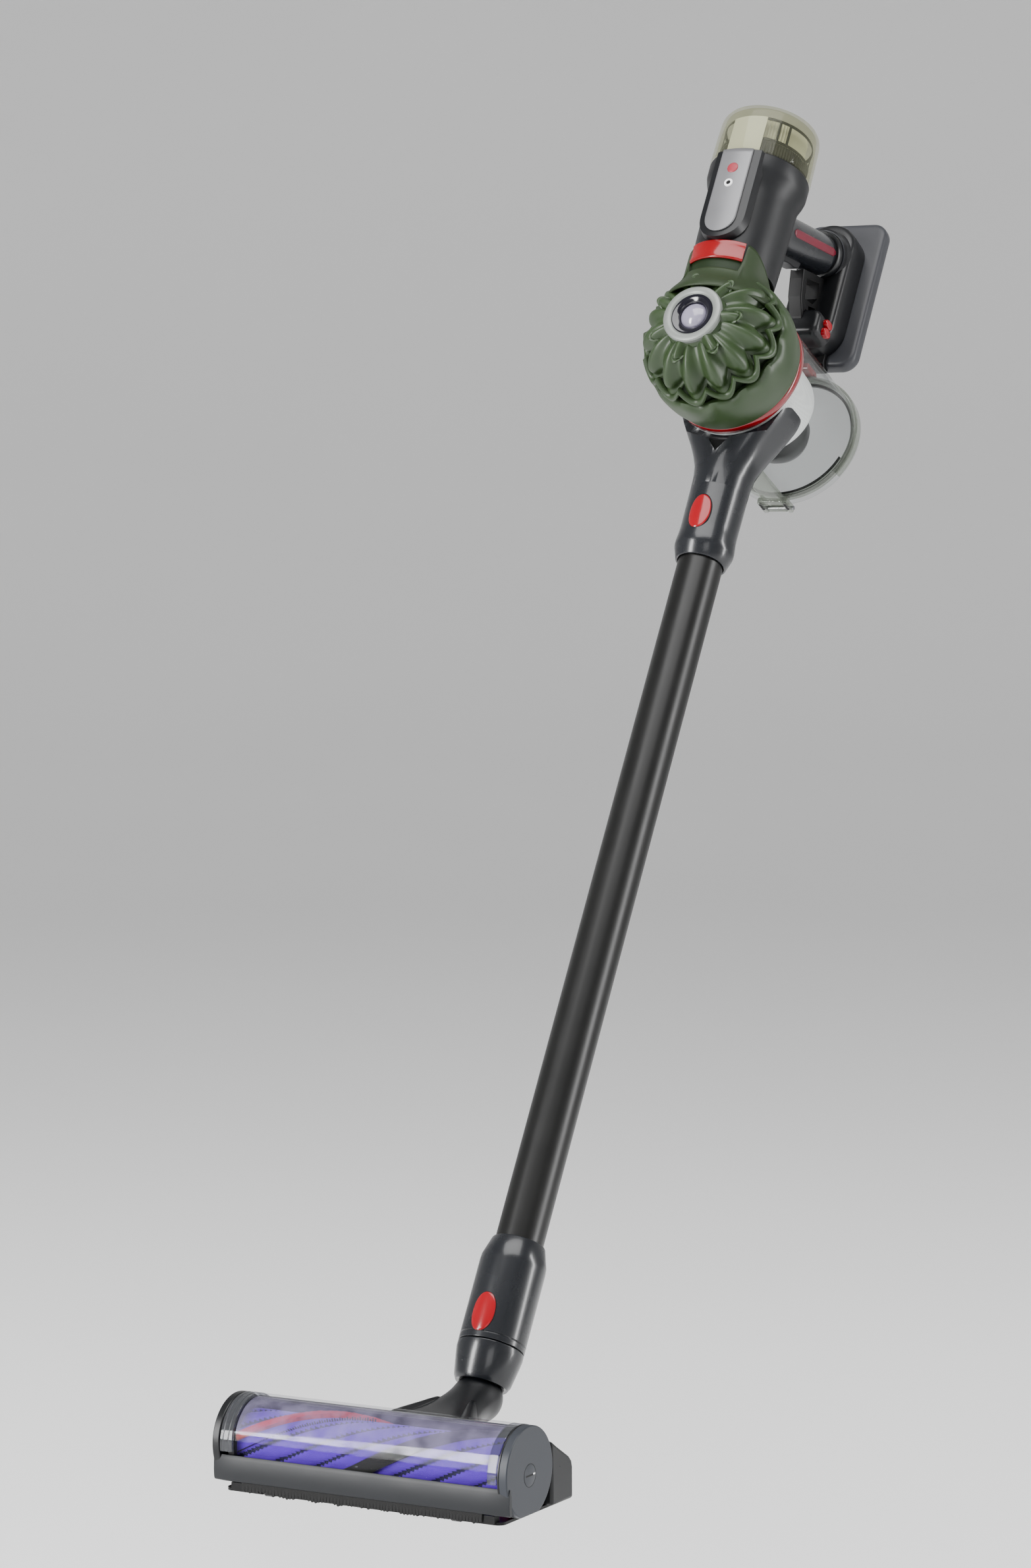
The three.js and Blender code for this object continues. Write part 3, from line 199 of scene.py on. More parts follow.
class Paint:
    """One node material that is being put together."""

    def __init__(self, name: str) -> None:
        """Starts an empty material.

        Args:
            name: The material's name.
        """
        self.material = bpy.data.materials.new(name)
        self.material.use_nodes = True
        self.tree = self.material.node_tree
        self.tree.nodes.clear()
        self.output = self.tree.nodes.new("ShaderNodeOutputMaterial")

    def node(
        self,
        kind: str,
        settings: dict | None = None,
        inputs: dict | None = None,
        output: int | str = 0,
    ) -> Value:
        """Adds any node.

        Args:
            kind: The node's type.
            settings: Its own properties, set first.
            inputs: Values or links for its sockets, by name or number.
            output: Which output is wanted.

        Returns:
            The wanted output.
        """
        made = self.tree.nodes.new(kind)
        for key, value in (settings or {}).items():
            setattr(made, key, value)
        for key, value in (inputs or {}).items():
            if isinstance(value, Value):
                self.tree.links.new(value.socket, made.inputs[key])
            else:
                made.inputs[key].default_value = value
        return Value(self, made.outputs[output])

    def place(self) -> Value:
        """Returns the position on the object at rest, in metres."""
        return self.node("ShaderNodeTexCoord", output="Object")

    def split(self, vector: Value) -> tuple[Value, Value, Value]:
        """Returns the three parts of a vector."""
        made = self.tree.nodes.new("ShaderNodeSeparateXYZ")
        self.tree.links.new(vector.socket, made.inputs[0])
        return tuple(Value(self, socket) for socket in made.outputs)

    def grain(self, scale: float, detail: float = 3, stretch: Point | None = None) -> Value:
        """Returns a noise value from 0 to 1.

        Args:
            scale: How many lumps there are in a metre.
            detail: How many finer layers it has.
            stretch: Factors along X, Y and Z, or None.

        Returns:
            The noise.
        """
        where = self.place()
        if stretch:
            where = self.node(
                "ShaderNodeVectorMath", {"operation": "MULTIPLY"}, {0: where, 1: stretch}
            )
        return self.node(
            "ShaderNodeTexNoise", None, {"Vector": where, "Scale": scale, "Detail": detail}
        )

    def mix(self, amount: object, first: object, second: object) -> Value:
        """Returns a colour between two others.

        Args:
            amount: 0 for the first colour and 1 for the second.
            first: The first colour.
            second: The second colour.

        Returns:
            The colour.
        """
        made = self.tree.nodes.new("ShaderNodeMix")
        made.data_type = "RGBA"
        for key, value in ((0, amount), (6, first), (7, second)):
            if isinstance(value, Value):
                self.tree.links.new(value.socket, made.inputs[key])
            else:
                made.inputs[key].default_value = value
        return Value(self, made.outputs[2])

    def bump(self, height: Value, depth: float, strength: float = 1.0) -> Value:
        """Returns a normal that follows a height from 0 to 1.

        Args:
            height: The height.
            depth: The depth of the relief, in metres.
            strength: How much of it shows.

        Returns:
            The normal.
        """
        inputs = {"Height": height, "Distance": depth, "Strength": strength}
        return self.node("ShaderNodeBump", None, inputs, "Normal")

    def surface(self, **inputs: object) -> Value:
        """Returns a Principled shader with the inputs given, an underscore standing for a space."""
        named = {key.replace("_", " "): value for key, value in inputs.items()}
        return self.node("ShaderNodeBsdfPrincipled", None, named)

    def finish(self, shader: Value) -> bpy.types.Material:
        """Makes the shader the material's surface and returns the material."""
        self.tree.links.new(shader.socket, self.output.inputs["Surface"])
        return self.material


def rgb(red: float, green: float, blue: float) -> tuple[float, float, float, float]:
    """Returns a linear colour from sRGB parts of 0 to 255."""

    def linear(part: float) -> float:
        """Returns one part of the colour, made linear."""
        share = part / 255
        return share / 12.92 if share <= 0.04045 else ((share + 0.055) / 1.055) ** 2.4

    return (linear(red), linear(green), linear(blue), 1.0)


# ---------------------------------------------------------------- finishes


@dataclass(frozen=True)
class Moulded:
    """Moulded plastic with a fine grain and a slightly uneven sheen."""

    name: str
    colour: Colour
    roughness: float = 0.4
    grain_depth: float = 0.00002
    grain_scale: float = 2600
    mottle: float = 0.12
    coat: float = 0.0
    specular: float = 0.5
    metallic: float = 0.0

    def material(self) -> bpy.types.Material:
        """Returns the material."""
        paint = Paint(self.name)
        base = rgb(*self.colour)
        dark = tuple(part * (1 - self.mottle) for part in base[:3]) + (1.0,)
        light = tuple(min(1.0, part * (1 + self.mottle)) for part in base[:3]) + (1.0,)
        clouds = paint.grain(38, 4)
        grain = paint.grain(self.grain_scale, 2)
        shader = paint.surface(
            Base_Color=paint.mix(clouds, dark, light),
            Roughness=self.roughness * (0.86 + clouds * 0.28),
            Metallic=self.metallic,
            Coat_Weight=self.coat,
            Coat_Roughness=0.06,
            Specular_IOR_Level=self.specular,
            Normal=paint.bump(grain, self.grain_depth, 0.5),
        )
        return paint.finish(shader)


@dataclass(frozen=True)
class Clear:
    """Clear plastic: a film of gloss over what shows through.

    The film's share is face where it is seen square on, and edge more at a grazing angle.
    The haze_and_painted_reflection share adds soft patches to it, painted reflection on the window's film
    and a faint haze on the cap, and a face below 0 leaves clear spots between them.
    """

    name: str
    tint: Colour
    body: Colour
    face: float = 0.06
    edge: float = 0.55
    roughness: float = 0.04
    haze_and_painted_reflection: float = 0.0

    def material(self) -> bpy.types.Material:
        """Returns the material."""
        paint = Paint(self.name)
        facing = paint.node("ShaderNodeLayerWeight", None, {"Blend": 0.42}, "Facing")
        smudge_and_reflection_patches = paint.grain(60, 3)
        # On the window's film these patches are painted reflection; on the cap they are a faint haze.
        amount = self.face + facing**2.4 * self.edge + smudge_and_reflection_patches * self.haze_and_painted_reflection
        through = paint.node("ShaderNodeBsdfTransparent", None, {"Color": rgb(*self.tint)})
        gloss = paint.surface(
            Base_Color=paint.mix(smudge_and_reflection_patches, rgb(*self.body), rgb(*(part * 0.86 for part in self.body))),
            Roughness=self.roughness * (0.8 + smudge_and_reflection_patches * 0.4),
            Specular_IOR_Level=0.8,
            Coat_Weight=1.0,
            Coat_Roughness=0.02,
        )
        shader = paint.node("ShaderNodeMixShader", None, {0: amount, 1: through, 2: gloss})
        return paint.finish(shader)


@dataclass(frozen=True)
class Brushed:
    """Metal or metallic paint with fine lines."""

    name: str
    colour: Colour
    roughness: float = 0.3
    metallic: float = 1.0
    lines: Point = (1, 1, 30)

    def material(self) -> bpy.types.Material:
        """Returns the material."""
        paint = Paint(self.name)
        lines = paint.grain(900, 3, self.lines)
        clouds = paint.grain(30, 3)
        base = rgb(*self.colour)
        dark = tuple(part * 0.82 for part in base[:3]) + (1.0,)
        shader = paint.surface(
            Base_Color=paint.mix(lines * 0.6 + clouds * 0.4, dark, base),
            Roughness=self.roughness * (0.8 + lines * 0.4),
            Metallic=self.metallic,
            Normal=paint.bump(lines, 0.00001, 0.4),
        )
        return paint.finish(shader)


@dataclass(frozen=True)
class Pile:
    """Woven pile or felt: a soft nap over a fine weave."""

    name: str
    colour: Colour
    shade: Colour
    scale: float = 1500
    depth: float = 0.0004
    sheen: float = 0.5

    def material(self) -> bpy.types.Material:
        """Returns the material."""
        paint = Paint(self.name)
        nap = paint.grain(self.scale, 4)
        patches = paint.grain(70, 3)
        shader = paint.surface(
            Base_Color=paint.mix(nap * 0.65 + patches * 0.35, rgb(*self.shade), rgb(*self.colour)),
            Roughness=0.72 + nap * 0.2,
            Sheen_Weight=self.sheen,
            Sheen_Roughness=0.4,
            Sheen_Tint=(0.85, 0.8, 1.0, 1.0),
            Normal=paint.bump(nap, self.depth, 0.6),
        )
        return paint.finish(shader)


@dataclass(frozen=True)
class Mesh:
    """Fine perforated metal sheet."""

    name: str
    colour: Colour
    pitch: float = 0.0016

    def material(self) -> bpy.types.Material:
        """Returns the material."""
        paint = Paint(self.name)
        x, y, z = paint.split(paint.place())
        rate = 2 * math.pi / self.pitch
        holes = ((x * rate).wave() * ((y + z) * rate * 0.7).wave()).ramp(0.35, 0.75)
        shade = rgb(*(part * 0.72 for part in self.colour))
        shader = paint.surface(
            Base_Color=paint.mix(holes * 0.45, rgb(*self.colour), shade),
            Roughness=0.38 + paint.grain(50, 2) * 0.12,
            Metallic=0.25,
            Normal=paint.bump(1 - holes, 0.0001, 0.35),
        )
        return paint.finish(shader)


CHARCOAL = Moulded("charcoal_satin", (19, 21, 25), 0.27, coat=0.2, specular=0.4)
HOUSING = Moulded("housing_satin", (18, 19, 21), 0.42, specular=0.3)
INK = Moulded("ink_satin", (10, 11, 14), 0.34, specular=0.35)
BLACK = Moulded("black_satin", (7, 7, 8), 0.45, specular=0.2)
RUBBER = Moulded("black_rubber", (9, 9, 10), 0.3, 0.00002, 1400, specular=0.4)
BUMPER = Moulded("bumper_grey", (24, 26, 29), 0.42, specular=0.3)
CAP_GREY = Moulded("cap_grey", (44, 47, 53), 0.42, specular=0.3)
PANEL = Moulded("panel_silver", (112, 112, 114), 0.36, metallic=0.3)
SLAB = Moulded("slab_grey", (50, 51, 55), 0.4, specular=0.3)
SLAB_EDGE = Moulded("slab_edge", (20, 21, 24), 0.36, specular=0.4)
OLIVE = Moulded("olive_gloss", (36, 54, 24), 0.42, 0.00001, 900, 0.14, specular=0.5)
OLIVE_SATIN = Moulded("olive_satin", (33, 46, 23), 0.5, 0.00001, 900, 0.12, specular=0.3)
# Painted shade: a darker copy of the olive for the recess under the lever and the body behind the lobes.
OLIVE_SHADE = Moulded("olive_painted_shade", (20, 34, 13), 0.5, specular=0.2)
# Painted highlight: a lighter copy of the olive for the rolled rims of the lobes.
LIP_HIGHLIGHT = Moulded("olive_lip_highlight", (104, 122, 88), 0.36, 0.00001, 900, 0.1)
RED = Moulded("signal_red", (126, 0, 8), 0.2, 0.000006, coat=0.3, specular=0.3)
KEY_RED = Moulded("key_red", (140, 0, 16), 0.2, 0.000006, coat=0.3, specular=0.3)
RING_RED = Moulded("ring_red", (116, 3, 14), 0.2, coat=0.5)
CRIMSON = Moulded("crimson_satin", (96, 4, 30), 0.4)
DULL_RED = Moulded("dull_red", (140, 34, 48), 0.45)
WHITE = Moulded("white_gloss", (238, 238, 238), 0.25, coat=0.5)
FILTER = Moulded("filter_paper", (206, 206, 194), 0.85, 0.0002, 1200)
CELL = Moulded("cell_sleeve", (60, 120, 176), 0.35)
SILVER = Brushed("ring_silver", (128, 132, 128), 0.42, 0.35)
STEEL = Brushed("steel", (150, 150, 154), 0.28)
WAND = Moulded("wand_satin", (10, 10, 9), 0.34, 0.00001, 1800, specular=0.35)
LENS = Moulded("lens_lilac", (132, 128, 146), 0.18, 0.000004, coat=0.6)
BEZEL = Moulded("bezel_ink", (7, 6, 18), 0.12, 0.000004, coat=0.3)
PLUSH = Pile("plush_violet", (92, 26, 196), (52, 8, 130), sheen=0.25)
GROOVE = Pile("plush_groove", (16, 8, 60), (8, 4, 36), sheen=0.0)
BRISTLE_RED = Pile("bristle_red", (200, 2, 22), (140, 0, 10), 2600, 0.0008, 0.0)
BRISTLE_BLACK = Pile("bristle_black", (9, 9, 9), (3, 3, 3), 2600, 0.0008, 0.0)
FELT = Pile("felt_black", (18, 18, 19), (8, 8, 8), sheen=0.1)
SHROUD = Mesh("shroud_sheet", (232, 232, 230))
WINDOW = Clear("window_clear", (250, 250, 252), (12, 12, 13), 0.02, 0.3)
# Painted reflection: a lavender-white film that stands for the light reflected on the window over the
# roller.
WINDOW_PAINTED_REFLECTION = Clear("window_painted_reflection", (255, 255, 255), (222, 212, 252), -0.08, 0.1, 0.1, 0.6)
WINDOW_END = Clear("window_end", (215, 216, 220), (120, 122, 126), 0.2, 0.35)
BIN_CLEAR = Clear("bin_clear", (250, 251, 251), (50, 52, 50), 0.02, 0.4)
RIM_CLEAR = Clear("rim_clear", (222, 225, 220), (150, 154, 146), 0.2, 0.5, 0.06)
# Painted reflection: a light grey for the plate behind the cap's front, where the light is reflected.
CAP_PLATE_REFLECTION = Moulded("cap_plate_reflection", (198, 198, 194), 0.4)
CAP_CLEAR = Clear("cap_clear", (240, 240, 230), (150, 152, 132), 0.05, 0.4, 0.08, 0.02)


class Dresser:
    """Gives finishes to pieces, making each material once."""

    def __init__(self) -> None:
        """Starts with no material made."""
        self.made: dict[str, bpy.types.Material] = {}

    def get(self, finish: Moulded | Clear | Brushed | Pile | Mesh) -> bpy.types.Material:
        """Returns the material of a finish."""
        if finish.name not in self.made:
            self.made[finish.name] = finish.material()
        return self.made[finish.name]

    def dress(self, piece: bpy.types.Object, *finishes: object) -> None:
        """Puts finishes into a piece's slots, in order."""
        piece.data.materials.clear()
        for finish in finishes:
            piece.data.materials.append(self.get(finish))


DRESSER = Dresser()


# ---------------------------------------------------------------- forms


class Form:
    """Vertices and faces of one piece, in its sub-assembly's local millimetres."""

    def __init__(self) -> None:
        """Starts empty."""
        self.points: list[Point] = []
        self.faces: list[tuple[int, ...]] = []
        self.slots: list[int] = []

    def sheet(self, rows: Rows, wrap: bool = False, loop: bool = False, slot: int = 0) -> Form:
        """Adds a grid of quads.

        Args:
            rows: Rows of points, all of one length.
            wrap: Whether each row closes on itself.
            loop: Whether the last row joins the first.
            slot: The material slot of its faces.

        Returns:
            This form.
        """
        start = len(self.points)
        width = len(rows[0])
        for row in rows:
            self.points.extend(row)
        last = len(rows) if loop else len(rows) - 1
        for i in range(last):
            j = (i + 1) % len(rows)
            for k in range(width if wrap else width - 1):
                m = (k + 1) % width
                corners = (i * width + k, i * width + m, j * width + m, j * width + k)
                self.faces.append(tuple(start + corner for corner in corners))
                self.slots.append(slot)
        return self

    def cap(self, row: list[Point], flip: bool = False, slot: int = 0) -> Form:
        """Adds one face over a closed row of points.

        Args:
            row: The points.
            flip: Whether the face looks the other way.
            slot: The material slot.

        Returns:
            This form.
        """
        start = len(self.points)
        self.points.extend(row)
        face = tuple(range(start, start + len(row)))
        self.faces.append(face[::-1] if flip else face)
        self.slots.append(slot)
        return self

    def turned(
        self,
        profile: Profile,
        segments: int = 96,
        arc: tuple[float, float] = (0, 360),
        slot: int = 0,
        closed: bool = False,
    ) -> Form:
        """Adds a profile of (radius, height) turned about local Z.

        Args:
            profile: The profile.
            segments: Steps round the turn.
            arc: First and last angle in degrees, from +X towards +Y.
            slot: The material slot.
            closed: Whether the profile closes on itself.

        Returns:
            This form.
        """
        whole = arc[1] - arc[0] >= 360
        steps = segments if whole else segments + 1
        angles = [math.radians(arc[0] + (arc[1] - arc[0]) * i / segments) for i in range(steps)]
        rows = [[(r * math.cos(a), r * math.sin(a), z) for a in angles] for r, z in profile]
        self.sheet(rows, wrap=whole, loop=closed, slot=slot)
        if closed and not whole:
            self.cap([row[0] for row in rows], slot=slot)
            self.cap([row[-1] for row in rows], True, slot=slot)
        return self

    def prism(self, outline: Profile, low: float, high: float, slot: int = 0) -> Form:
        """Adds an outline in local X and Y, extruded along local Z.

        Args:
            outline: The outline.
            low: Where it starts along Z.
            high: Where it ends.
            slot: The material slot.

        Returns:
            This form.
        """
        bottom = [(x, y, low) for x, y in outline]
        top = [(x, y, high) for x, y in outline]
        self.sheet([bottom, top], wrap=True, slot=slot)
        self.cap(bottom, True, slot)
        self.cap(top, False, slot)
        return self

    def bar(self, outline: Profile, low: float, high: float, slot: int = 0) -> Form:
        """Adds a side outline in local Y and Z, extruded along local X.

        Args:
            outline: The outline.
            low: Where it starts along X.
            high: Where it ends.
            slot: The material slot.

        Returns:
            This form.
        """
        left = [(low, y, z) for y, z in outline]
        right = [(high, y, z) for y, z in outline]
        self.sheet([left, right], wrap=True, slot=slot)
        self.cap(left, True, slot)
        self.cap(right, False, slot)
        return self

    def slab(self, outline: Profile, front: float, back: float, slot: int = 0) -> Form:
        """Adds a front outline in local X and Z, extruded along local Y.

        Args:
            outline: The outline.
            front: Where it starts along Y.
            back: Where it ends.
            slot: The material slot.

        Returns:
            This form.
        """
        near = [(x, front, z) for x, z in outline]
        far = [(x, back, z) for x, z in outline]
        self.sheet([near, far], wrap=True, slot=slot)
        self.cap(near, True, slot)
        self.cap(far, False, slot)
        return self

    def loft(self, rings: Rows) -> Form:
        """Adds a skin over closed rings, capped at both ends.

        Args:
            rings: The rings, all of one length.

        Returns:
            This form.
        """
        self.sheet(rings, wrap=True)
        self.cap(rings[0], True)
        self.cap(rings[-1])
        return self


class Edge(Enum):
    """How a piece's edges are rounded."""

    SHARP = 0.0
    FINE = 0.35
    SOFT = 0.9
    ROUND = 2.2


@dataclass
class Piece:
    """How one form becomes an object of the scene."""

    name: str
    form: Form
    axes: Axes
    finishes: tuple
    body: str
    slot: str
    replaces: tuple[str, ...] = ()
    edge: Edge = Edge.SHARP
    smooth: float = 38
    subdivide: int = 0
    thickness: float = 0.0
    cutters: list[bpy.types.Object] = field(default_factory=list)

    def make(self) -> bpy.types.Object:
        """Builds the object, dresses it and ties it to its body.

        Returns:
            The object.
        """
        mesh = bpy.data.meshes.new(self.name)
        mesh.from_pydata(self.form.points, [], self.form.faces)
        for polygon, slot in zip(mesh.polygons, self.form.slots):
            polygon.material_index = slot
        self._clean(mesh)
        mesh.transform(self.axes.matrix())
        mesh.shade_smooth()
        if self.subdivide == 0:
            mesh.set_sharp_from_angle(angle=math.radians(self.smooth))
        piece = bpy.data.objects.new(self.name, mesh)
        bpy.context.scene.collection.objects.link(piece)
        DRESSER.dress(piece, *self.finishes)
        self._modify(piece)
        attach(piece, self.body)
        if self.replaces:
            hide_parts(*self.replaces)
        LOG.info("%s: %d faces on %s", self.name, len(mesh.polygons), self.body)
        return piece

    @staticmethod
    def _clean(mesh: bpy.types.Mesh) -> None:
        """Merges doubled points and turns the faces outwards."""
        work = bmesh.new()
        work.from_mesh(mesh)
        bmesh.ops.remove_doubles(work, verts=work.verts, dist=MERGE_DISTANCE)
        bmesh.ops.dissolve_degenerate(work, edges=work.edges, dist=SLIVER_LENGTH)
        bmesh.ops.recalc_face_normals(work, faces=work.faces)
        work.to_mesh(mesh)
        work.free()

    def _modify(self, piece: bpy.types.Object) -> None:
        """Adds the thickness, cuts, rounded edges and subdivision."""
        if self.thickness:
            solidify = piece.modifiers.new("thickness", "SOLIDIFY")
            solidify.thickness = self.thickness * MM
            solidify.offset = -1
        for cutter in self.cutters:
            cut = piece.modifiers.new("cut", "BOOLEAN")
            cut.operation = "DIFFERENCE"
            cut.solver = "EXACT"
            cut.object = cutter
        if self.edge is not Edge.SHARP:
            bevel = piece.modifiers.new("edge", "BEVEL")
            bevel.width = self.edge.value * MM
            bevel.segments = EDGE_SEGMENTS
            bevel.limit_method = "ANGLE"
            bevel.angle_limit = EDGE_ANGLE
            bevel.harden_normals = False
        if self.subdivide:
            smooth = piece.modifiers.new("smooth", "SUBSURF")
            smooth.levels = self.subdivide
            smooth.render_levels = self.subdivide
        if self.cutters:
            self._bake(piece)

    @staticmethod
    def _bake(piece: bpy.types.Object) -> None:
        """Applies the modifiers and drops the cutters."""
        cutters = [mod.object for mod in piece.modifiers if mod.type == "BOOLEAN"]
        graph = bpy.context.evaluated_depsgraph_get()
        mesh = bpy.data.meshes.new_from_object(piece.evaluated_get(graph))
        piece.modifiers.clear()
        piece.data = mesh
        mesh.shade_smooth()
        mesh.set_sharp_from_angle(angle=BAKED_SHARP_ANGLE)
        for cutter in cutters:
            bpy.data.objects.remove(cutter)


def cutter(form: Form, axes: Axes) -> bpy.types.Object:
    """Returns a hidden solid for cutting a piece.

    Args:
        form: Its shape.
        axes: The axes it is made in.

    Returns:
        The solid, which goes when the cut is baked.
    """
    mesh = bpy.data.meshes.new("cutter")
    mesh.from_pydata(form.points, [], form.faces)
    Piece._clean(mesh)
    mesh.transform(axes.matrix())
    made = bpy.data.objects.new("cutter", mesh)
    bpy.context.scene.collection.objects.link(made)
    return made


def rounded(width: float, height: float, radius: float, steps: int = 8) -> Profile:
    """Returns the outline of a rectangle with round corners, centred on the origin.

    Args:
        width: Its width.
        height: Its height.
        radius: The radius of its corners.
        steps: Steps round each corner.

    Returns:
        The outline.
    """
    outline: Profile = []
    centres = ((1, 1, 0), (-1, 1, 90), (-1, -1, 180), (1, -1, 270))
    for sx, sy, start in centres:
        cx, cy = sx * (width / 2 - radius), sy * (height / 2 - radius)
        for i in range(steps + 1):
            angle = math.radians(start + 90 * i / steps)
            outline.append((cx + radius * math.cos(angle), cy + radius * math.sin(angle)))
    return outline


def shifted(outline: Profile, x: float, y: float) -> Profile:
    """Returns an outline moved in its own plane."""
    return [(a + x, b + y) for a, b in outline]


def arc_points(x: float, y: float, radius: float, start: float, end: float, steps: int) -> Profile:
    """Returns points on an arc, with angles in degrees."""
    angles = (math.radians(start + (end - start) * i / steps) for i in range(steps + 1))
    return [(x + radius * math.cos(a), y + radius * math.sin(a)) for a in angles]


def ease(value: float, low: float, high: float) -> float:
    """Returns 0 below low, 1 above high and a soft change between."""
    share = min(1.0, max(0.0, (value - low) / (high - low)))
    return share * share * (3 - 2 * share)


def oval(half_x: float, half_y: float, power: float, count: int) -> Profile:
    """Returns an oval that squares up as its power grows.

    Args:
        half_x: Half its width.
        half_y: Half its height.
        power: 2 for an ellipse, and more for a squarer one.
        count: How many points it has.

    Returns:
        The outline.
    """
    outline = []
    for i in range(count):
        angle = 2 * math.pi * i / count
        c, s = math.cos(angle), math.sin(angle)
        x = math.copysign(abs(c) ** (2 / power), c) * half_x
        y = math.copysign(abs(s) ** (2 / power), s) * half_y
        outline.append((x, y))
    return outline


# ---------------------------------------------------------------- cleaner head


@dataclass
class CleanerHead:
    """The roller head: housing, bumper, clear window, end cap and underside."""

    axes: Axes
    pitch: Vector
    half: float = 126
    block_back: float = 22
    block_top: float = 50
    chamber_y: float = -42
    chamber_z: float = 35.3
    chamber_radius: float = 31.3
    window_radius: float = 33.7
    notch: float = 41.5
    sole: float = 3.6
    seam_height: float = 30.5
    hub_height: float = 33

    def build(self) -> None:
        """Builds every piece of the head."""
        self.housing()
        self.bosses()
        self.bumper()
        self.window()
        self.end_cap()
        self.left_end()
        self.underside()

    def lying(self, height: float) -> Axes:
        """Returns axes that lie along the head, at a height under or over the roller."""
        origin = self.axes.matrix() @ Vector((0, self.chamber_y, height))
        return Axes(origin, Vector((1, 0, 0)), Vector((0, 1, 0)))

    def end_disc(self, radius: float, grow: float = 0.0) -> Profile:
        """Returns the outline of an end of the head: a disc cut flat over the sole.

        Args:
            radius: The radius that settles where the flat begins.
            grow: How much larger the disc is than that.

        Returns:
            The outline, as (y, z).
        """
        floor = math.degrees(math.asin((self.sole + 0.6 - self.chamber_z) / radius))
        return arc_points(
            self.chamber_y, self.chamber_z, radius + grow, floor, 180 - floor, 72
        )

    def housing(self) -> None:
        """Builds the shell behind the roller: two end blocks and the bridge between."""
        inner = arc_points(
            self.chamber_y, self.chamber_z, self.chamber_radius, -58, 50, 22
        )
        roof = [(-19.5, 61.2), (-14, 57.2), (-8, self.block_top + 1.5)]
        back = [(17, 35.4), (20.6, 31.8), (self.block_back, 27), (self.block_back, self.sole)]
        ends = inner + roof + [(-2, 46.6)] + back + [(-20, self.sole)]
        bridge = inner + roof + [(-1.2, 46), (-1.2, 14), (-1.2, self.sole), (-20, self.sole)]
        form = Form()
        form.bar(ends, -self.half + 0.6, -self.notch)
        form.bar(ends, self.notch, 116.4)
        form.bar(bridge, -self.notch, self.notch)
        Piece(
            "housing_shell", form, self.axes, (HOUSING,), "head", "charcoal",
            ("head_housing",), Edge.ROUND,
        ).make()
        outline = [(-9, self.sole), (-9, 51.4), (-2, 46.6)] + back
        cheek = Form().bar(outline, 116.8, self.half - 1.2)
        Piece(
            "housing_cheek", cheek, self.axes, (HOUSING,), "head", "charcoal", (), Edge.ROUND
        ).make()
        seam = Form()
        low, high = self.seam_height, self.seam_height + 0.5
        seam.bar([(21.3, low), (22.15, low), (22.15, high), (21.3, high)], 52, self.half - 3)
        seam.bar([(2, low), (2.5, low), (2.5, high), (2, high)], 124.6, 124.95)
        Piece("housing_seam", seam, self.axes, (BLACK,), "head", "black").make()

    def bosses(self) -> None:
        """Builds the two round bosses that hold the elbow's pins."""
        pitch = Axes(self.pitch, Vector((1, 0, 0)), Vector((0, 1, 0)))
        form = Form()
        for side in (-1, 1):
            near, far = side * self.notch, side * 57
            form.turned([(0, near), (9.4, near), (9.4, far), (0, far)], 48)
        Piece("neck_bosses", form, pitch, (INK,), "head", "black", (), Edge.SOFT).make()

    def bumper(self) -> None:
        """Builds the grey bumper, which bows forward a little."""
        front, depth, low, high = -74.7, 4.2, 8.6, 28.8
        section = [
            (front + 2.4, low), (front + 0.9, low + 0.8), (front + 0.3, low + 2.6),
            (front, 17), (front + 0.3, high - 3.5), (front + 1.1, high - 1.2),
            (front + 1.7, high - 0.2), (front + depth - 1.5, high - 1.4),
            (front + depth - 0.3, high - 6), (front + depth, low),
        ]
        rows = []
        for i in range(25):
            x = -self.half + 0.2 + (2 * self.half - 0.4) * i / 24
            sag = 1.6 * ease(abs(x), self.half - 9, self.half)
            rows.append([(x, y + sag, z) for y, z in section])
        Piece(
            "bumper_bar", Form().loft(rows), self.axes, (BUMPER,), "head", "grey",
            ("front_bumper",), Edge.FINE, 30,
        ).make()

    def window(self) -> None:
        """Builds the clear roof over the roller, its thicker ends and a lavender-white film under its upper
        part that paints the light's reflection on it.
        """
        axes = self.lying(self.chamber_z)
        outer, inner = self.window_radius, self.chamber_radius + 0.5
        span = (53.0, 187.0)

        profile = [(outer, -107.5), (outer, 108.5), (inner, 108.5), (inner, -107.5)]
        roof = Form().turned(profile, 72, span, closed=True)
        Piece("window_roof", roof, axes, (WINDOW,), "head", "clear", ("clear_window",),
              Edge.FINE).make()
        # Painted reflection: this film under the roof's upper part stands for the light reflected on the
        # window.
        sheen = Form().turned([(inner - 0.25, -107), (inner - 0.25, 108)], 72, (66, 163))
        Piece("window_painted_reflection", sheen, axes, (WINDOW_PAINTED_REFLECTION,), "head", "clear").make()
        ends = Form()
        for low, high in ((-118.4, -107.9), (108.9, 116.4)):
            profile = [(outer, low), (outer, high), (inner - 0.6, high), (inner - 0.6, low)]
            ends.turned(profile, 72, span, closed=True)
        Piece("window_ends", ends, axes, (WINDOW_END,), "head", "clear", (), Edge.FINE).make()
        lines = Form()
        for x in (-116, -111.5):
            lines.turned([(outer + 0.12, x), (outer + 0.12, x + 0.9)], 72, span)
        Piece("window_end_lines", lines, axes, (SLAB,), "head", "grey").make()
        rear = math.radians(53.5)
        y, z = outer * math.cos(rear), outer * math.sin(rear)
        rail = Form().sheet([[(y - 1.1, z + 0.9, x), (y + 0.5, z - 0.2, x)] for x in (-118, 116)])
        Piece("window_rail", rail, axes, (SILVER,), "head", "silver", thickness=0.6).make()

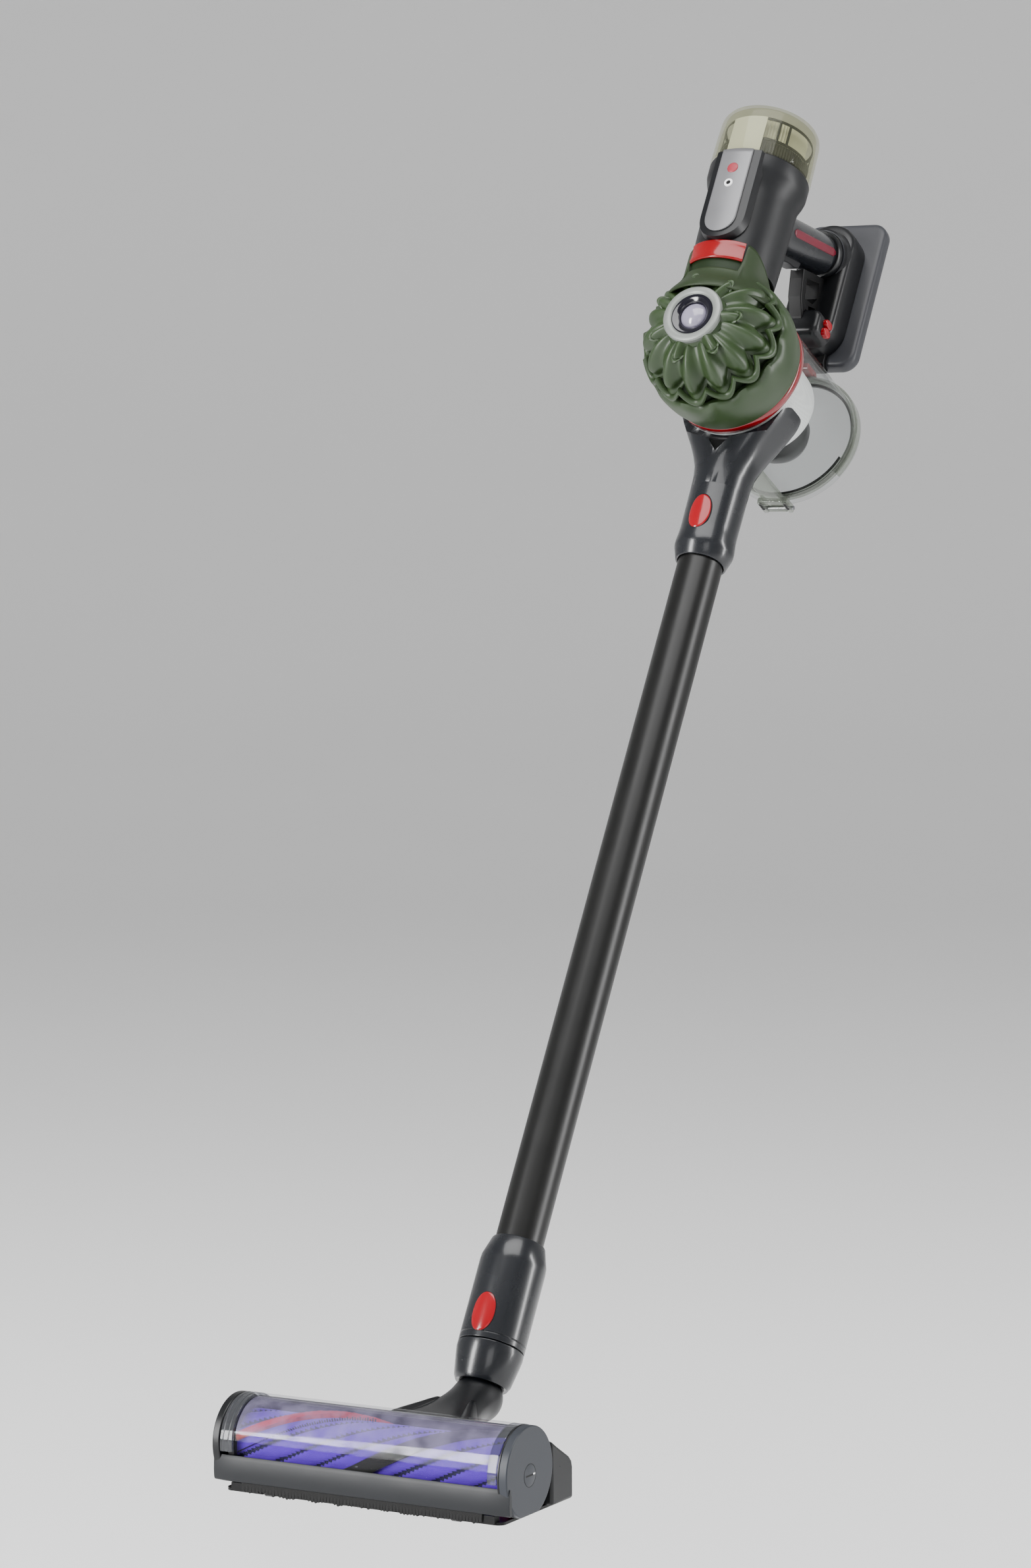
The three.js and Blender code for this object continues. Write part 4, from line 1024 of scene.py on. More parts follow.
    def end_cap(self) -> None:
        """Builds the right end cap, its rim and its coin lock."""
        radius = self.window_radius - 0.25
        disc = self.end_disc(radius)
        Piece("cap_disc", Form().bar(disc, 118, 125), self.axes, (CAP_GREY,), "end_cap", "grey",
              ("end_cap",), Edge.SOFT).make()
        rim = self.end_disc(radius, 0.2)
        Piece("cap_rim", Form().bar(rim, 117.0, 118.4), self.axes, (INK,), "end_cap", "black",
              (), Edge.FINE).make()
        centre = self.lying(self.hub_height)
        ring = Form().turned([(8.2, 124.6), (8.2, 125.08), (8.6, 125.08), (8.6, 124.6)], 64,
                             closed=True)
        Piece("coin_ring", ring, centre, (BLACK,), "end_cap", "black").make()
        plug = Form().turned([(0, 124.2), (8.0, 124.2), (8.0, 125.05), (7.4, 125.25), (0, 125.25)],
                             64)
        Piece("coin_plug", plug, centre, (CAP_GREY,), "lock", "grey", ("coin_lock",)).make()
        slot = Form().prism(rounded(12.6, 1.3, 0.6), 125.0, 125.3)
        Piece("coin_slot", slot, centre, (BLACK,), "lock", "black").make()
        glint = Form().prism(shifted(rounded(2.8, 1.2, 0.55), 5.6, 0.35), 125.1, 125.42)
        Piece("coin_glint", glint, centre, (WHITE,), "lock", "white").make()

    def left_end(self) -> None:
        """Builds the left end plate with its hub ring."""
        form = Form().bar(self.end_disc(self.window_radius - 0.2), -125.4, -119.2)
        Piece("left_plate", form, self.axes, (INK,), "head", "black", ("end_plate",),
              Edge.SOFT).make()
        hub = Form().turned(
            [(0, -119), (13, -119), (13, -114), (28.8, -114.4), (30.2, -113), (30.2, -108.2),
             (27, -107.6), (25.6, -109), (25.6, -112.6), (0, -112.6)], 72)
        Piece("left_hub", hub, self.lying(self.hub_height), (BLACK,), "head", "black", (), Edge.FINE).make()

    def underside(self) -> None:
        """Builds the ragged bristle fringe under the bumper and dresses the sole."""
        form = Form()
        x = -101.0
        while x < 102:
            lump = noise.noise(Vector((x * 0.09, 3.1, 0))) * 1.6
            drop = 4.4 - lump - 1.5 * noise.noise(Vector((x * 0.31, 0.7, 0)))
            width = 2.6 + noise.noise(Vector((x * 0.7, 5.0, 0)))
            low = max(0.6, drop - 2.6)
            form.slab([(x, 9.2), (x + 0.3, low + 0.8), (x + width / 2, low),
                       (x + width, low + 0.6), (x + width + 0.3, 9.2)], -73.6, -70.2)
            x += width + 0.15
        Piece("front_fringe", form, self.axes, (BRISTLE_BLACK,), "head", "bristle_black").make()
        for name, finish in (("sole_plate", BLACK), ("felt_strip", FELT), ("brush_motor", STEEL),
                             ("castor_left", RUBBER), ("castor_right", RUBBER)):
            DRESSER.dress(frame["nodes"][name], finish)


@dataclass
class Roller:
    """The brush roller: plush sleeve, bristle strips, core and drive end."""

    axes: Axes
    low: float = -111
    high: float = 113
    radius: float = 24.5
    twist: float = -1.13
    black_at: float = 224
    red_at: float = 74
    grooves: tuple[float, ...] = (38, 76, 114, 152, 190, -38, -76, -114)

    def build(self) -> None:
        """Builds every piece of the roller."""
        self.sleeve()
        self.strip("strip_black", self.black_at, 11.5, 28.6, BRISTLE_BLACK, "bristle_black",
                   "bristle_strip_black")
        self.strip("strip_red", self.red_at, 5.6, 29.2, BRISTLE_RED, "bristle_red",
                   "bristle_strip_red")
        self.teeth()
        DRESSER.dress(frame["nodes"]["roller_core"], PLUSH)
        DRESSER.dress(frame["nodes"]["drive_dog"], BLACK)

    def angle(self, start: float, x: float) -> float:
        """Returns a helix's angle from local +X at a place along the roller, in radians.

        Args:
            start: The angle from the top towards the front at the left end, in degrees.
            x: The place along the roller.

        Returns:
            The angle.
        """
        return math.radians(90 + start + self.twist * (x - self.low))

    def sleeve(self) -> None:
        """Builds the plush sleeve, with thin helical grooves between its panels."""
        around, along = 180, 64
        starts = [self.black_at + offset for offset in self.grooves]
        rows = []
        for i in range(along + 1):
            x = self.low + (self.high - self.low) * i / along
            lines = [self.angle(start, x) for start in starts]
            row = []
            for k in range(around):
                a = 2 * math.pi * k / around
                near = min(abs((a - line + math.pi) % (2 * math.pi) - math.pi) for line in lines)
                dip = 1.5 * (1 - ease(near * self.radius, 0.7, 2.3))
                r = self.radius - dip
                row.append((r * math.cos(a), r * math.sin(a), x))
            rows.append(row)
        form = Form().sheet(rows, wrap=True)
        for row in (rows[0], rows[-1]):
            edge = row[0][2]
            inner = [(x * 0.83, y * 0.83, edge) for x, y, _ in row]
            form.sheet([row, inner], wrap=True)
        piece = Piece("plush_sleeve", form, self.axes, (PLUSH, GROOVE), "roller", "plush",
                      ("roller_plush",), smooth=60).make()
        limit = (self.radius - 0.75) * MM
        centre = self.axes.origin
        for polygon in piece.data.polygons:
            middle = polygon.center - centre
            if math.hypot(middle.y, middle.z) < limit:
                polygon.material_index = 1

    def strip(self, name: str, start: float, width: float, tip: float, finish: Pile, slot: str,
              node: str) -> None:
        """Builds one helical bristle strip.

        Args:
            name: The piece's name.
            start: Its angle at the left end, in degrees.
            width: Its width round the roller.
            tip: The radius of its tips.
            finish: Its finish.
            slot: The record's material slot.
            node: The CAD node it stands for.
        """
        steps, across = 150, 7
        rows = []
        for i in range(steps + 1):
            x = self.low + 0.5 + (self.high - self.low - 1) * i / steps
            middle = self.angle(start, x)
            row = []
            half = width / 2 / self.radius
            for k in range(across + 1):
                share = 2 * k / across - 1
                fray = noise.noise(Vector((x * 1.3, k * 2.1, start))) * 0.55
                crown = tip - 1.2 * share * share + fray
                a = middle + share * half
                row.append((crown * math.cos(a), crown * math.sin(a), x))
            root = self.radius - 2.6
            first, last = middle - half, middle + half
            row.append((root * math.cos(last), root * math.sin(last), x))
            row.append((root * math.cos(first), root * math.sin(first), x))
            rows.append(row)
        Piece(name, Form().loft(rows), self.axes, (finish,), "roller", slot, (node,),
              smooth=50).make()

    def teeth(self) -> None:
        """Builds the short bristle teeth that stand out of the red strip's root line."""
        form = Form()
        count, length, side = 60, 100, 0.45
        for i in range(count):
            x = self.low + 4 + length * i / count
            a = self.angle(self.red_at + 26, x)
            reach = self.radius + 2.2 + 0.5 * math.sin(i * 2.4)
            c, s = math.cos(a), math.sin(a)
            base = [(self.radius - 1.5, -side, x - side), (self.radius - 1.5, side, x - side),
                    (self.radius - 1.5, side, x + side), (self.radius - 1.5, -side, x + side)]
            top = [(reach, y * 0.5, z) for _, y, z in base]
            rings = [[(r * c - y * s, r * s + y * c, z) for r, y, z in ring]
                     for ring in (base, top)]
            form.loft(rings)
        Piece("bristle_teeth", form, self.axes, (BRISTLE_BLACK,), "roller",
              "bristle_black").make()


# ---------------------------------------------------------------- neck and wand


@dataclass
class Neck:
    """The elbow that joins the head to the stick, and the swivel cup."""

    arm: Axes
    stick: Axes

    def build(self) -> None:
        """Builds the elbow and the cup."""
        self.elbow()
        self.cup()

    def elbow(self) -> None:
        """Builds the elbow as one smooth skin from the barrel to the ball."""
        stations = [
            (-15.6, 24, 4.5, 2.2, 0), (-14.6, 34, 8.5, 2.6, 0), (-11, 39, 12.6, 3, 0),
            (-4, 40, 15.7, 3.6, 0), (4, 40, 16, 3.6, 0.3), (13, 39.4, 15.6, 3.2, 0.4),
            (24, 34, 14.6, 2.8, 0.2), (36, 27, 13.6, 2.5, 0.4), (48, 22.4, 13.4, 2.3, 1.0),
            (60, 19.6, 14.2, 2.1, 1.2), (70, 18.9, 16, 2, 0.8), (77, 19.4, 18.4, 2, 0.2),
            (84, 19.8, 19.8, 2, 0), (91, 18.5, 18.5, 2, 0), (98, 14, 14, 2, 0),
            (102.6, 6.2, 6.2, 2, 0),
        ]
        rings = []
        for y, half_x, half_z, power, rise in stations:
            rings.append([(x, y, z + rise) for x, z in oval(half_x, half_z, power, 40)])
        Piece("elbow_skin", Form().loft(rings), self.arm, (INK,), "elbow", "black",
              ("neck_elbow",), subdivide=2).make()
        wings = Form()
        for side in (-1, 1):
            ring_rows = []
            for y, x, half_x, half_z in ((2, 33, 8, 15.2), (14, 31, 8, 15), (30, 24, 7, 13.6),
                                         (46, 17, 5, 12.6), (58, 13, 3, 12)):
                ring_rows.append([(side * x + a, y, b + 1.4) for a, b in
                                  oval(half_x, half_z, 2.4, 24)])
            wings.loft(ring_rows)
        Piece("elbow_ribs", wings, self.arm, (INK,), "elbow", "black", (), subdivide=1).make()

    def cup(self) -> None:
        """Builds the swivel cup over the ball."""
        profile = [(14.4, 21.8), (17.8, 16.2), (20.4, 16.1), (22.3, 19.6), (25.0, 35), (25.9, 41),
                   (25.9, 45.4), (25.5, 45.8), (14.4, 45.8)]
        Piece("cup_skin", Form().turned(profile, 96, closed=True), self.stick, (CHARCOAL,),
              "collar", "charcoal", ("swivel_cup",), Edge.FINE, 30).make()


@dataclass
class PushKey:
    """A red oval key on the front of a collar."""

    axes: Axes
    radius: float
    rise: float
    body: str
    host: str
    node: str
    half_width: float = 10
    half_height: float = 16.5

    def patch(self, grow: float, lift: float, crown: float, steps: int = 20) -> Rows:
        """Returns rows of points over the key's oval, laid on the collar.

        Args:
            grow: How far past the key's outline it reaches.
            lift: Its height over the collar at the outline.
            crown: How much higher its middle stands.
            steps: Rings from the middle to the outline.

        Returns:
            The rows.
        """
        rows = []
        outline = oval(self.half_width + grow, self.half_height + grow, 2.15, 56)
        for i in range(steps + 1):
            share = i / steps
            dome = crown * (1 - share**3.2)
            edge = -1.1 * ease(share, 0.9, 1.0)
            row = []
            for x, z in outline:
                across = x * share
                depth = math.sqrt(max(0.0, self.radius**2 - across**2))
                row.append((across, -depth - lift - dome - edge, self.rise + z * share))
            rows.append(row)
        return rows

    def build(self) -> None:
        """Builds the key and the dark seam round it."""
        key = Form().sheet(self.patch(0, 0.5, 0.5), wrap=True)
        Piece(f"{self.node}_face", key, self.axes, (KEY_RED,), self.body, "red", (self.node,),
              smooth=60, thickness=1.2).make()
        rows = self.patch(0.9, 0.16, 0, 10)[7:]
        seam = Form().sheet(rows, wrap=True)
        Piece(f"{self.node}_seam", seam, self.axes, (BLACK,), self.host, "black",
              smooth=60, thickness=0.3).make()


@dataclass
class Wand:
    """The wand tube and the lower collar."""

    axes: Axes
    radius: float = 18.9
    low: float = 72.4
    high: float = 791.6

    def build(self) -> None:
        """Builds the tube, the collar and its key."""
        profile = [(self.radius, self.low), (self.radius, self.high),
                   (self.radius - 1.3, self.high), (self.radius - 1.3, self.low)]
        Piece("wand_skin", Form().turned(profile, 128, closed=True), self.axes, (WAND,), "wand",
              "wand", ("wand_tube",), Edge.FINE).make()
        collar = [(14.3, 46.5), (25.6, 46.5), (25.95, 46.9), (25.95, 51), (25.5, 51.3),
                  (25.5, 51.7), (25.95, 52), (25.95, 60), (25.95, 112), (25.6, 116.6),
                  (21.2, 130.8), (20.6, 131.6), (19.5, 131.6), (19.5, 73), (14.3, 69.5)]
        Piece("collar_skin", Form().turned(collar, 128, closed=True), self.axes, (CHARCOAL,),
              "collar", "charcoal", ("lower_collar",), Edge.FINE, 24).make()
        PushKey(self.axes, 26, 66.5, "head_key", "collar", "head_release_button").build()


@dataclass
class InletDuct:
    """The forked collar above the wand, which cradles the bin."""

    axes: Axes
    bin_axes: Axes
    reach: float = 51

    def build(self) -> None:
        """Builds the collar, the fork and the key."""
        self.collar()
        self.fork()
        PushKey(self.axes, 24.3, 38, "wand_key", "bin", "wand_release_button").build()

    def collar(self) -> None:
        """Builds the round collar."""
        profile = [(19.5, 0.2), (20.8, 0.2), (21.4, 0.9), (24.6, 11), (24.95, 13), (24.95, 16.5),
                   (24.2, 24), (23.9, 30), (24.2, 60), (24.2, 84), (19.5, 84)]
        Piece("duct_collar", Form().turned(profile, 128, closed=True), self.axes, (CHARCOAL,),
              "bin", "charcoal", ("inlet_duct",), Edge.FINE, 24).make()

    def fork(self) -> None:
        """Builds the arms that spread under the bin, with a black sheet in the valley between them that
        paints its shade.
        """
        stations = [
            (66, 24.25, 24.25, 2.0), (78, 24.4, 24.4, 2.05), (88, 25.4, 24.8, 2.2),
            (98, 28.6, 25.4, 2.5), (108, 33, 26, 2.9), (118, 38.2, 26.6, 3.3),
            (128, 43.4, 27, 3.7), (138, 48.2, 27.2, 4), (146, self.reach, 27.2, 4.2),
            (155, self.reach + 0.8, 27, 4.2),
        ]
        rings = [[(x, y, z) for x, y in oval(hx, hy, power, 96)] for z, hx, hy, power in stations]
        wedge = Form().slab([(0, 95), (23, 125), (29, 128), (29, 170), (-29, 170), (-29, 128),
                             (-23, 125)], -40, -21.4)
        saddle = Form().turned([(0, 60), (58.5, 60), (58.5, 260), (0, 260)], 128)
        room = Form().turned([(0, -30), (66, -30), (66, 100), (0, 100)], 128)
        cutters = [cutter(wedge, self.axes), cutter(saddle, self.bin_axes),
                   cutter(room, self.bin_axes)]
        Piece("duct_fork", Form().loft(rings), self.axes, (CHARCOAL,), "bin", "charcoal", (),
              Edge.SOFT, cutters=cutters).make()
        # Painted shade: a black sheet on the valley floor stands for the shade that falls between the arms.
        shade = Form().slab([(0, 98), (21, 126), (26, 129), (26, 140), (-26, 140), (-26, 129),
                             (-21, 126)], -21.6, -19.6)
        clip = cutter(Form().turned([(0, -30), (66.5, -30), (66.5, 102), (0, 102)], 96),
                      self.bin_axes)
        Piece("duct_valley_painted_shade", shade, self.axes, (BLACK,), "bin", "black", cutters=[clip]).make()


# ---------------------------------------------------------------- bin and cyclone


@dataclass
class DustBin:
    """The clear bin with its red ring, runner, door and latch."""

    axes: Axes
    radius: float = 58
    wall: float = 2.2
    top: float = 98
    end: float = 217

    def build(self) -> None:
        """Builds every piece of the bin."""
        self.shell()
        self.ring()
        self.runner()
        self.door()
        self.latch()

    def shell(self) -> None:
        """Builds the clear wall, its thicker rim and two black bands inside the rim that paint its dark
        refraction lines.
        """
        inner = self.radius - self.wall
        wall = [(self.radius, self.top + 0.3), (self.radius, self.end - 8),
                (inner, self.end - 8), (inner, self.top + 0.3)]
        Piece("bin_shell", Form().turned(wall, 160, closed=True), self.axes, (BIN_CLEAR,), "bin",
              "clear", ("bin_wall",)).make()
        rim = [(self.radius, self.end - 8.2), (self.radius, self.end - 0.2),
               (inner, self.end - 0.2), (inner, self.end - 8.2)]
        Piece("bin_rim", Form().turned(rim, 160, closed=True), self.axes, (RIM_CLEAR,), "bin",
              "clear", (), Edge.FINE).make()
        # Painted shade: two black bands inside the rim stand for the dark lines that refraction makes in
        # the thick clear plastic.
        lines = Form()
        for z, width in ((self.end - 11.4, 3.8), (self.end - 4.4, 3.2)):
            lines.turned([(inner - 0.1, z), (inner - 0.9, z + width / 2), (inner - 0.1, z + width)],
                         96, (22, 150))
        Piece("bin_painted_refraction_lines", lines, self.axes, (BLACK,), "bin", "black", smooth=60).make()

    def ring(self) -> None:
        """Builds the red ring between the cyclone and the bin."""
        profile = [(54.2, 90.2), (58.1, 90.2), (58.75, 90.9), (58.8, 94), (58.7, 97.3),
                   (58.2, 97.9), (54.2, 97.9)]
        Piece("ring_skin", Form().turned(profile, 160, closed=True), self.axes, (RING_RED,),
              "bin", "red", ("bin_ring",), smooth=50).make()

    def runner(self) -> None:
        """Builds the clear runner under the bin and its hinge ears."""
        low = 150
        outline = shifted(rounded(18, 6.2, 1.5), 0, 62)
        form = Form().prism(outline, low, self.end - 9)
        form.prism(shifted(rounded(28, 4.2, 1.5), 0, 64.4), self.end - 14.6, self.end - 8.4)
        for side in (-1, 1):
            form.prism(shifted(rounded(4.6, 6.4, 1), side * 11.5, 65.2), self.end - 14.6,
                       self.end + 1.8)
        clip = cutter(Form().turned([(0, 140), (58.3, 140), (58.3, 240), (0, 240)], 128),
                      self.axes)
        Piece("runner_bar", form, self.axes, (RIM_CLEAR,), "bin", "clear", ("bin_runner",),
              Edge.FINE, cutters=[clip]).make()
        marks = Form()
        for x in (-11.5, 11.5):
            marks.prism(shifted(rounded(2.2, 2.6, 0.6), x, 67.6), self.end - 13, self.end - 4)
        Piece("runner_marks", marks, self.axes, (BLACK,), "bin", "black").make()
        DRESSER.dress(frame["nodes"]["door_hinge_pin"], STEEL)

    def door(self) -> None:
        """Builds the clear door, its dark inner ring and its hinge strap."""
        end = self.end
        profile = [(0, end + 0.4), (52, end + 0.4), (53.4, end + 1.2), (55.4, end + 1.2),
                   (56.4, end + 0.4), (58.2, end + 0.4), (58.3, end + 1.4), (60.4, end + 1.4),
                   (60.4, end + 2.2), (58.6, end + 3.9), (54.6, end + 2.6), (0, end + 2.6)]
        Piece("door_disc", Form().turned(profile, 160), self.axes, (BIN_CLEAR,), "door", "clear",
              ("bin_door",), smooth=30).make()
        seal = [(52.9, end - 2.8), (55.4, end - 2.8), (55.4, end + 0.2), (52.9, end + 0.2)]
        Piece("door_seal_ring", Form().turned(seal, 128, closed=True), self.axes, (RUBBER,),
              "door", "rubber", ("door_seal",), Edge.FINE).make()
        rim = [(58.4, end - 5.4), (60.4, end - 5.4), (60.45, end + 1.2), (58.4, end + 1.2)]
        Piece("door_rim", Form().turned(rim, 160, (-215, 35), closed=True), self.axes,
              (RIM_CLEAR,), "door", "clear", (), Edge.FINE).make()
        strap = Form().prism(shifted(rounded(17, 7.4, 1.5), 0, 62.4), end + 0.5, end + 2.4)
        strap.bar(shifted(rounded(6.2, 6.2, 3), 65.5, end - 1), -8.6, 8.6)
        Piece("door_strap", strap, self.axes, (RIM_CLEAR,), "door", "clear", (),
              Edge.FINE).make()

    def latch(self) -> None:
        """Builds the red latch at the top of the door."""
        end = self.end
        form = Form().bar([(-64.8, end - 21.5), (-61.2, end - 21.5), (-58.6, end - 20.6),
                           (-58.6, end - 8.4), (-61.2, end - 8), (-61.2, end - 1.4),
                           (-62.4, end - 1.2), (-64.8, end - 5)], -7.8, 7.8)
        Piece("latch_lever", form, self.axes, (RED,), "latch", "red", ("door_latch",),
              Edge.SOFT).make()


@dataclass(frozen=True)
class Lobes:
    """The shape of one tier of lobes, from the lens ring outwards.

    Each ridge starts at radius start and height low, and reaches and drops from there. Its
    valleys are shallow at first and deep at the rim, whose outline is scalloped and rolled
    to the radius lip.
    """

    count: int
    phase: float
    start: float
    reach: float
    low: float
    drop: float
    shallow: float
    deep: float
    scallop: float
    lip: float
    length: float
    rows: int
    columns: int
    narrow: float = 1.0
    pinch: float = 1.2
    sink: float = 0.3

    def ridge(self, angle: float, share: float) -> float:
        """Returns 1 on a ridge and 0 in a valley, with ridges that widen outwards."""
        swing = math.cos(self.count * (angle - math.radians(self.phase)))
        return (0.5 + 0.5 * swing) ** ((1.5 - 1.0 * share) * self.narrow)

    def depth(self, share: float) -> float:
        """Returns how deep the valleys are at a share of the length."""
        return self.shallow + self.deep * share**0.8

    def section(self, share: float) -> tuple[float, float]:
        """Returns the radius and height of a ridge at a share of its length."""
        turn = min(1.08, share) * math.pi / 2
        return (self.start + self.reach * math.sin(turn) ** 0.92,
                self.low + self.drop * max(0.0, 1 - math.cos(turn)) ** 1.05)

    def point(self, angle: float, share: float, lift: float) -> Point:
        """Returns a point over the ridge line's surface.

        Args:
            angle: Its angle round the axis.
            share: Its share of the length.
            lift: Its height over the surface.

        Returns:
            The point.
        """
        r, z = self.section(share)
        r1, z1 = self.section(share + 0.01)
        length = math.hypot(r1 - r, z1 - z) or 1.0
        radius = r + (z1 - z) / length * lift
        height = z - (r1 - r) / length * lift
        return (radius * math.cos(angle), radius * math.sin(angle), height)


@dataclass
class Cyclone:
    """The olive cyclone: draped tiers of lobes round the lens, the base and the neck."""

    axes: Axes
    motor: Axes
    lobes: int = 14
    inner_lobes: int = 7

    def build(self) -> None:
        """Builds every piece of the cyclone."""
        self.outer_tier()
        self.inner_tier()
        self.hub()
        self.base()
        self.neck()
        self.lens()
        self.shroud()

    def drape(self, lobes: Lobes) -> Form:
        """Returns a skirt of lobes that hangs from the lens ring, with a rolled rim.

        Args:
            lobes: The shape of the tier.

        Returns:
            The skirt in slot 0 and its rim in slot 1.
        """
        total = lobes.count * lobes.columns
        form = Form()
        skirt: Rows = []
        angles = [math.tau * k / total for k in range(total)]
        for i in range(lobes.rows + 1):
            row = []
            for angle in angles:
                share = i / lobes.rows
                ridge = lobes.ridge(angle, share)
                t = share * (1 - lobes.scallop * (1 - lobes.ridge(angle, 1.0)))
                dip = lobes.pinch * math.exp(-(((share - 0.88) / 0.07) ** 2))
                lift = -lobes.depth(t) * (1 - ridge) - dip
                row.append(lobes.point(angle, t, lift))
            skirt.append(row)
        form.sheet(skirt, wrap=True)
        # The rolled rim takes slot 1, which the tiers dress in the lighter olive that paints its highlight.
        rim: Rows = []
        for angle in angles:
            t = 1 - lobes.scallop * (1 - lobes.ridge(angle, 1.0))
            sink = lobes.depth(t) * (1 - lobes.ridge(angle, 1.0)) * lobes.sink
            ring = []
            for k in range(10):
                turn = math.tau * k / 10
                along = t + math.cos(turn) * lobes.lip / lobes.length
                ring.append(lobes.point(angle, along, math.sin(turn) * lobes.lip - sink))
            rim.append(ring)
        form.sheet(rim, wrap=True, loop=True, slot=1)
        return form

    def outer_tier(self) -> None:
        """Builds the long outer lobes."""
        lobes = Lobes(
            count=self.lobes, phase=90, start=23.5, reach=35.5, low=5.6, drop=38,
            shallow=1.6, deep=9.5, scallop=0.2, lip=3.2, length=60, rows=46, columns=24,
            narrow=1.0, pinch=2.6, sink=0.15,
        )
        Piece("lobes_outer", self.drape(lobes), self.axes, (OLIVE, LIP_HIGHLIGHT), "machine",
              "olive", ("cyclone_outer_cones",), smooth=70).make()

    def inner_tier(self) -> None:
        """Builds the short inner lobes."""
        lobes = Lobes(
            count=self.inner_lobes, phase=90 + 180 / self.lobes, start=23.5, reach=18, low=1.4,
            drop=6.0, shallow=1.0, deep=26, scallop=0.5, lip=2.3, length=24, rows=30,
            columns=40, narrow=2.0, pinch=1.0, sink=1.0,
        )
        Piece("lobes_inner", self.drape(lobes), self.axes, (OLIVE, LIP_HIGHLIGHT), "machine",
              "olive", ("cyclone_inner_cones",), smooth=70).make()

    def hub(self) -> None:
        """Builds the green body behind the lobes, in a darker olive that paints the shade there."""
        profile = [(20, 3.2), (24, 3.2), (26, 6), (34, 16), (42, 26), (50, 38), (54, 50),
                   (57, 58), (44, 58.4)]
        Piece("hub_body", Form().turned(profile, 128), self.axes, (OLIVE_SHADE,), "machine",
              "olive", smooth=60).make()

    def base(self) -> None:
        """Builds the scalloped band between the lobes and the red ring."""
        count = self.lobes
        profile = [(56.5, 46), (60.4, 44.5), (62.6, 48), (63.4, 54), (63.6, 60), (63.4, 67),
                   (62.6, 74), (60.6, 82), (58.8, 89.6), (46, 89.8), (45.4, 80), (45.4, 60)]
        rows = []
        total = count * 12
        for index, (r, z) in enumerate(profile):
            row = []
            for k in range(total):
                angle = 2 * math.pi * k / total
                wave = 0.5 + 0.5 * math.cos(count * (angle - math.radians(90 + 180 / count)))
                pull = (3.5, 5.5, 4.5, 3, 1.6, 0.6, 0, 0, 0, 0, 0, 0)[index] * (1 - wave)
                bulge = (0, 0.6, 1.0, 0.8, 0.4, 0, 0, 0, 0, 0, 0, 0)[index] * (wave - 0.5)
                row.append(((r + bulge) * math.cos(angle), (r + bulge) * math.sin(angle),
                            z + pull))
            rows.append(row)
        Piece("base_band", Form().sheet(rows, wrap=True, loop=True), self.axes, (OLIVE,),
              "machine", "olive", ("cyclone_base",), smooth=60).make()

    def neck(self) -> None:
        """Builds the green neck that wraps the motor's foot."""

        def brim(angle: float) -> float:
            """Returns the height of the neck's edge at an angle from its front."""
            away = abs(angle)
            front = 220.2 + 27.5 * ease(away, 36.5, 39.5)
            side = 36 * ease(away, 36, 112)
            return front - side

        rows = []
        steps = 120
        for i in range(18):
            share = i / 17
            row = []
            for k in range(steps + 1):
                angle = -150 + 300 * k / steps
                top = brim(angle)
                low = 196
                z = low + (top - low) * share
                flare = 11 * (1 - ease(z, 196, 226)) ** 1.6
                radius = 39.6 + flare - 1.4 * ease(z, 244, 249)
                a = math.radians(angle - 90)
                row.append((radius * math.cos(a), radius * math.sin(a), z))
            rows.append(row)
        # Painted shade: the recess under the lever is dressed in the darker olive for the shade that falls
        # there.
        recess = [(37.9, 206), (37.9, 230.8), (37.2, 231)]
        Piece("neck_recess", Form().turned(recess, 48, (228, 312)), self.motor, (OLIVE_SHADE,),
              "machine", "olive", smooth=50).make()
        Piece("neck_skin", Form().sheet(rows), self.motor, (OLIVE_SATIN,), "machine", "olive", (),
              smooth=60, thickness=1.6).make()

    def lens(self) -> None:
        """Builds the silver ring, the dark bezel and the lilac dome on the axis."""
        ring = [(18.5, 1.2), (19.4, 0.2), (20.6, -0.3), (23.6, -0.3), (25.2, 0.3), (26, 1.4),
                (26, 4.4), (25, 5.6), (18.5, 5.6)]
        Piece("ring_silver", Form().turned(ring, 128, closed=True), self.axes, (SILVER,),
              "machine", "silver", ("lens_ring",), smooth=30).make()
        bezel = [(11.6, 3.6), (13.2, 2.2), (16.2, 1.0), (18.3, 0.9), (18.4, 6), (11.6, 6)]
        Piece("ring_bezel", Form().turned(bezel, 128, closed=True), self.axes, (BEZEL,),
              "machine", "black", ("lens_bezel",), smooth=50).make()
        dome = [(0, -0.5), (4, -0.2), (7, 0.7), (9.6, 2.2), (11.4, 4.2), (11.4, 6), (0, 6)]
        Piece("lens_glass", Form().turned(dome, 96), self.axes, (LENS,), "machine", "silver",
              ("lens_dome",), smooth=60).make()

    def shroud(self) -> None:
        """Builds the pale shroud inside the bin and the dark boot on its end."""
        skin = [(43.6, 62), (44.6, 62), (44.6, 92), (44, 110), (42.4, 140), (41.4, 160),
                (40.4, 164), (37.5, 166), (30, 166.5)]
        Piece("shroud_skin", Form().turned(skin, 128), self.axes, (SHROUD,), "machine",
              "shroud", ("shroud",), smooth=50).make()
        rings = []
        for z, radius, shift in ((160, 34, 0), (168, 33.5, 0), (173, 29, 1), (180, 26.6, 3),
                                 (190, 27, 4.5), (200, 26, 5), (208, 21.5, 5), (213, 15, 5),
                                 (215.6, 7, 5), (216.2, 1, 5)):
            rings.append([(x - shift * 0.7, y + shift, z) for x, y in oval(radius, radius, 2, 72)])
        Piece("boot_skin", Form().loft(rings), self.axes, (RUBBER,), "machine", "rubber",
              ("shroud_boot",), smooth=60).make()
        band = Form().turned([(44.75, 94.5), (45.2, 95), (45.2, 97), (44.75, 97.4)], 128)
        Piece("shroud_band", band, self.axes, (SLAB,), "machine", "grey", smooth=50).make()


# ---------------------------------------------------------------- motor and filter


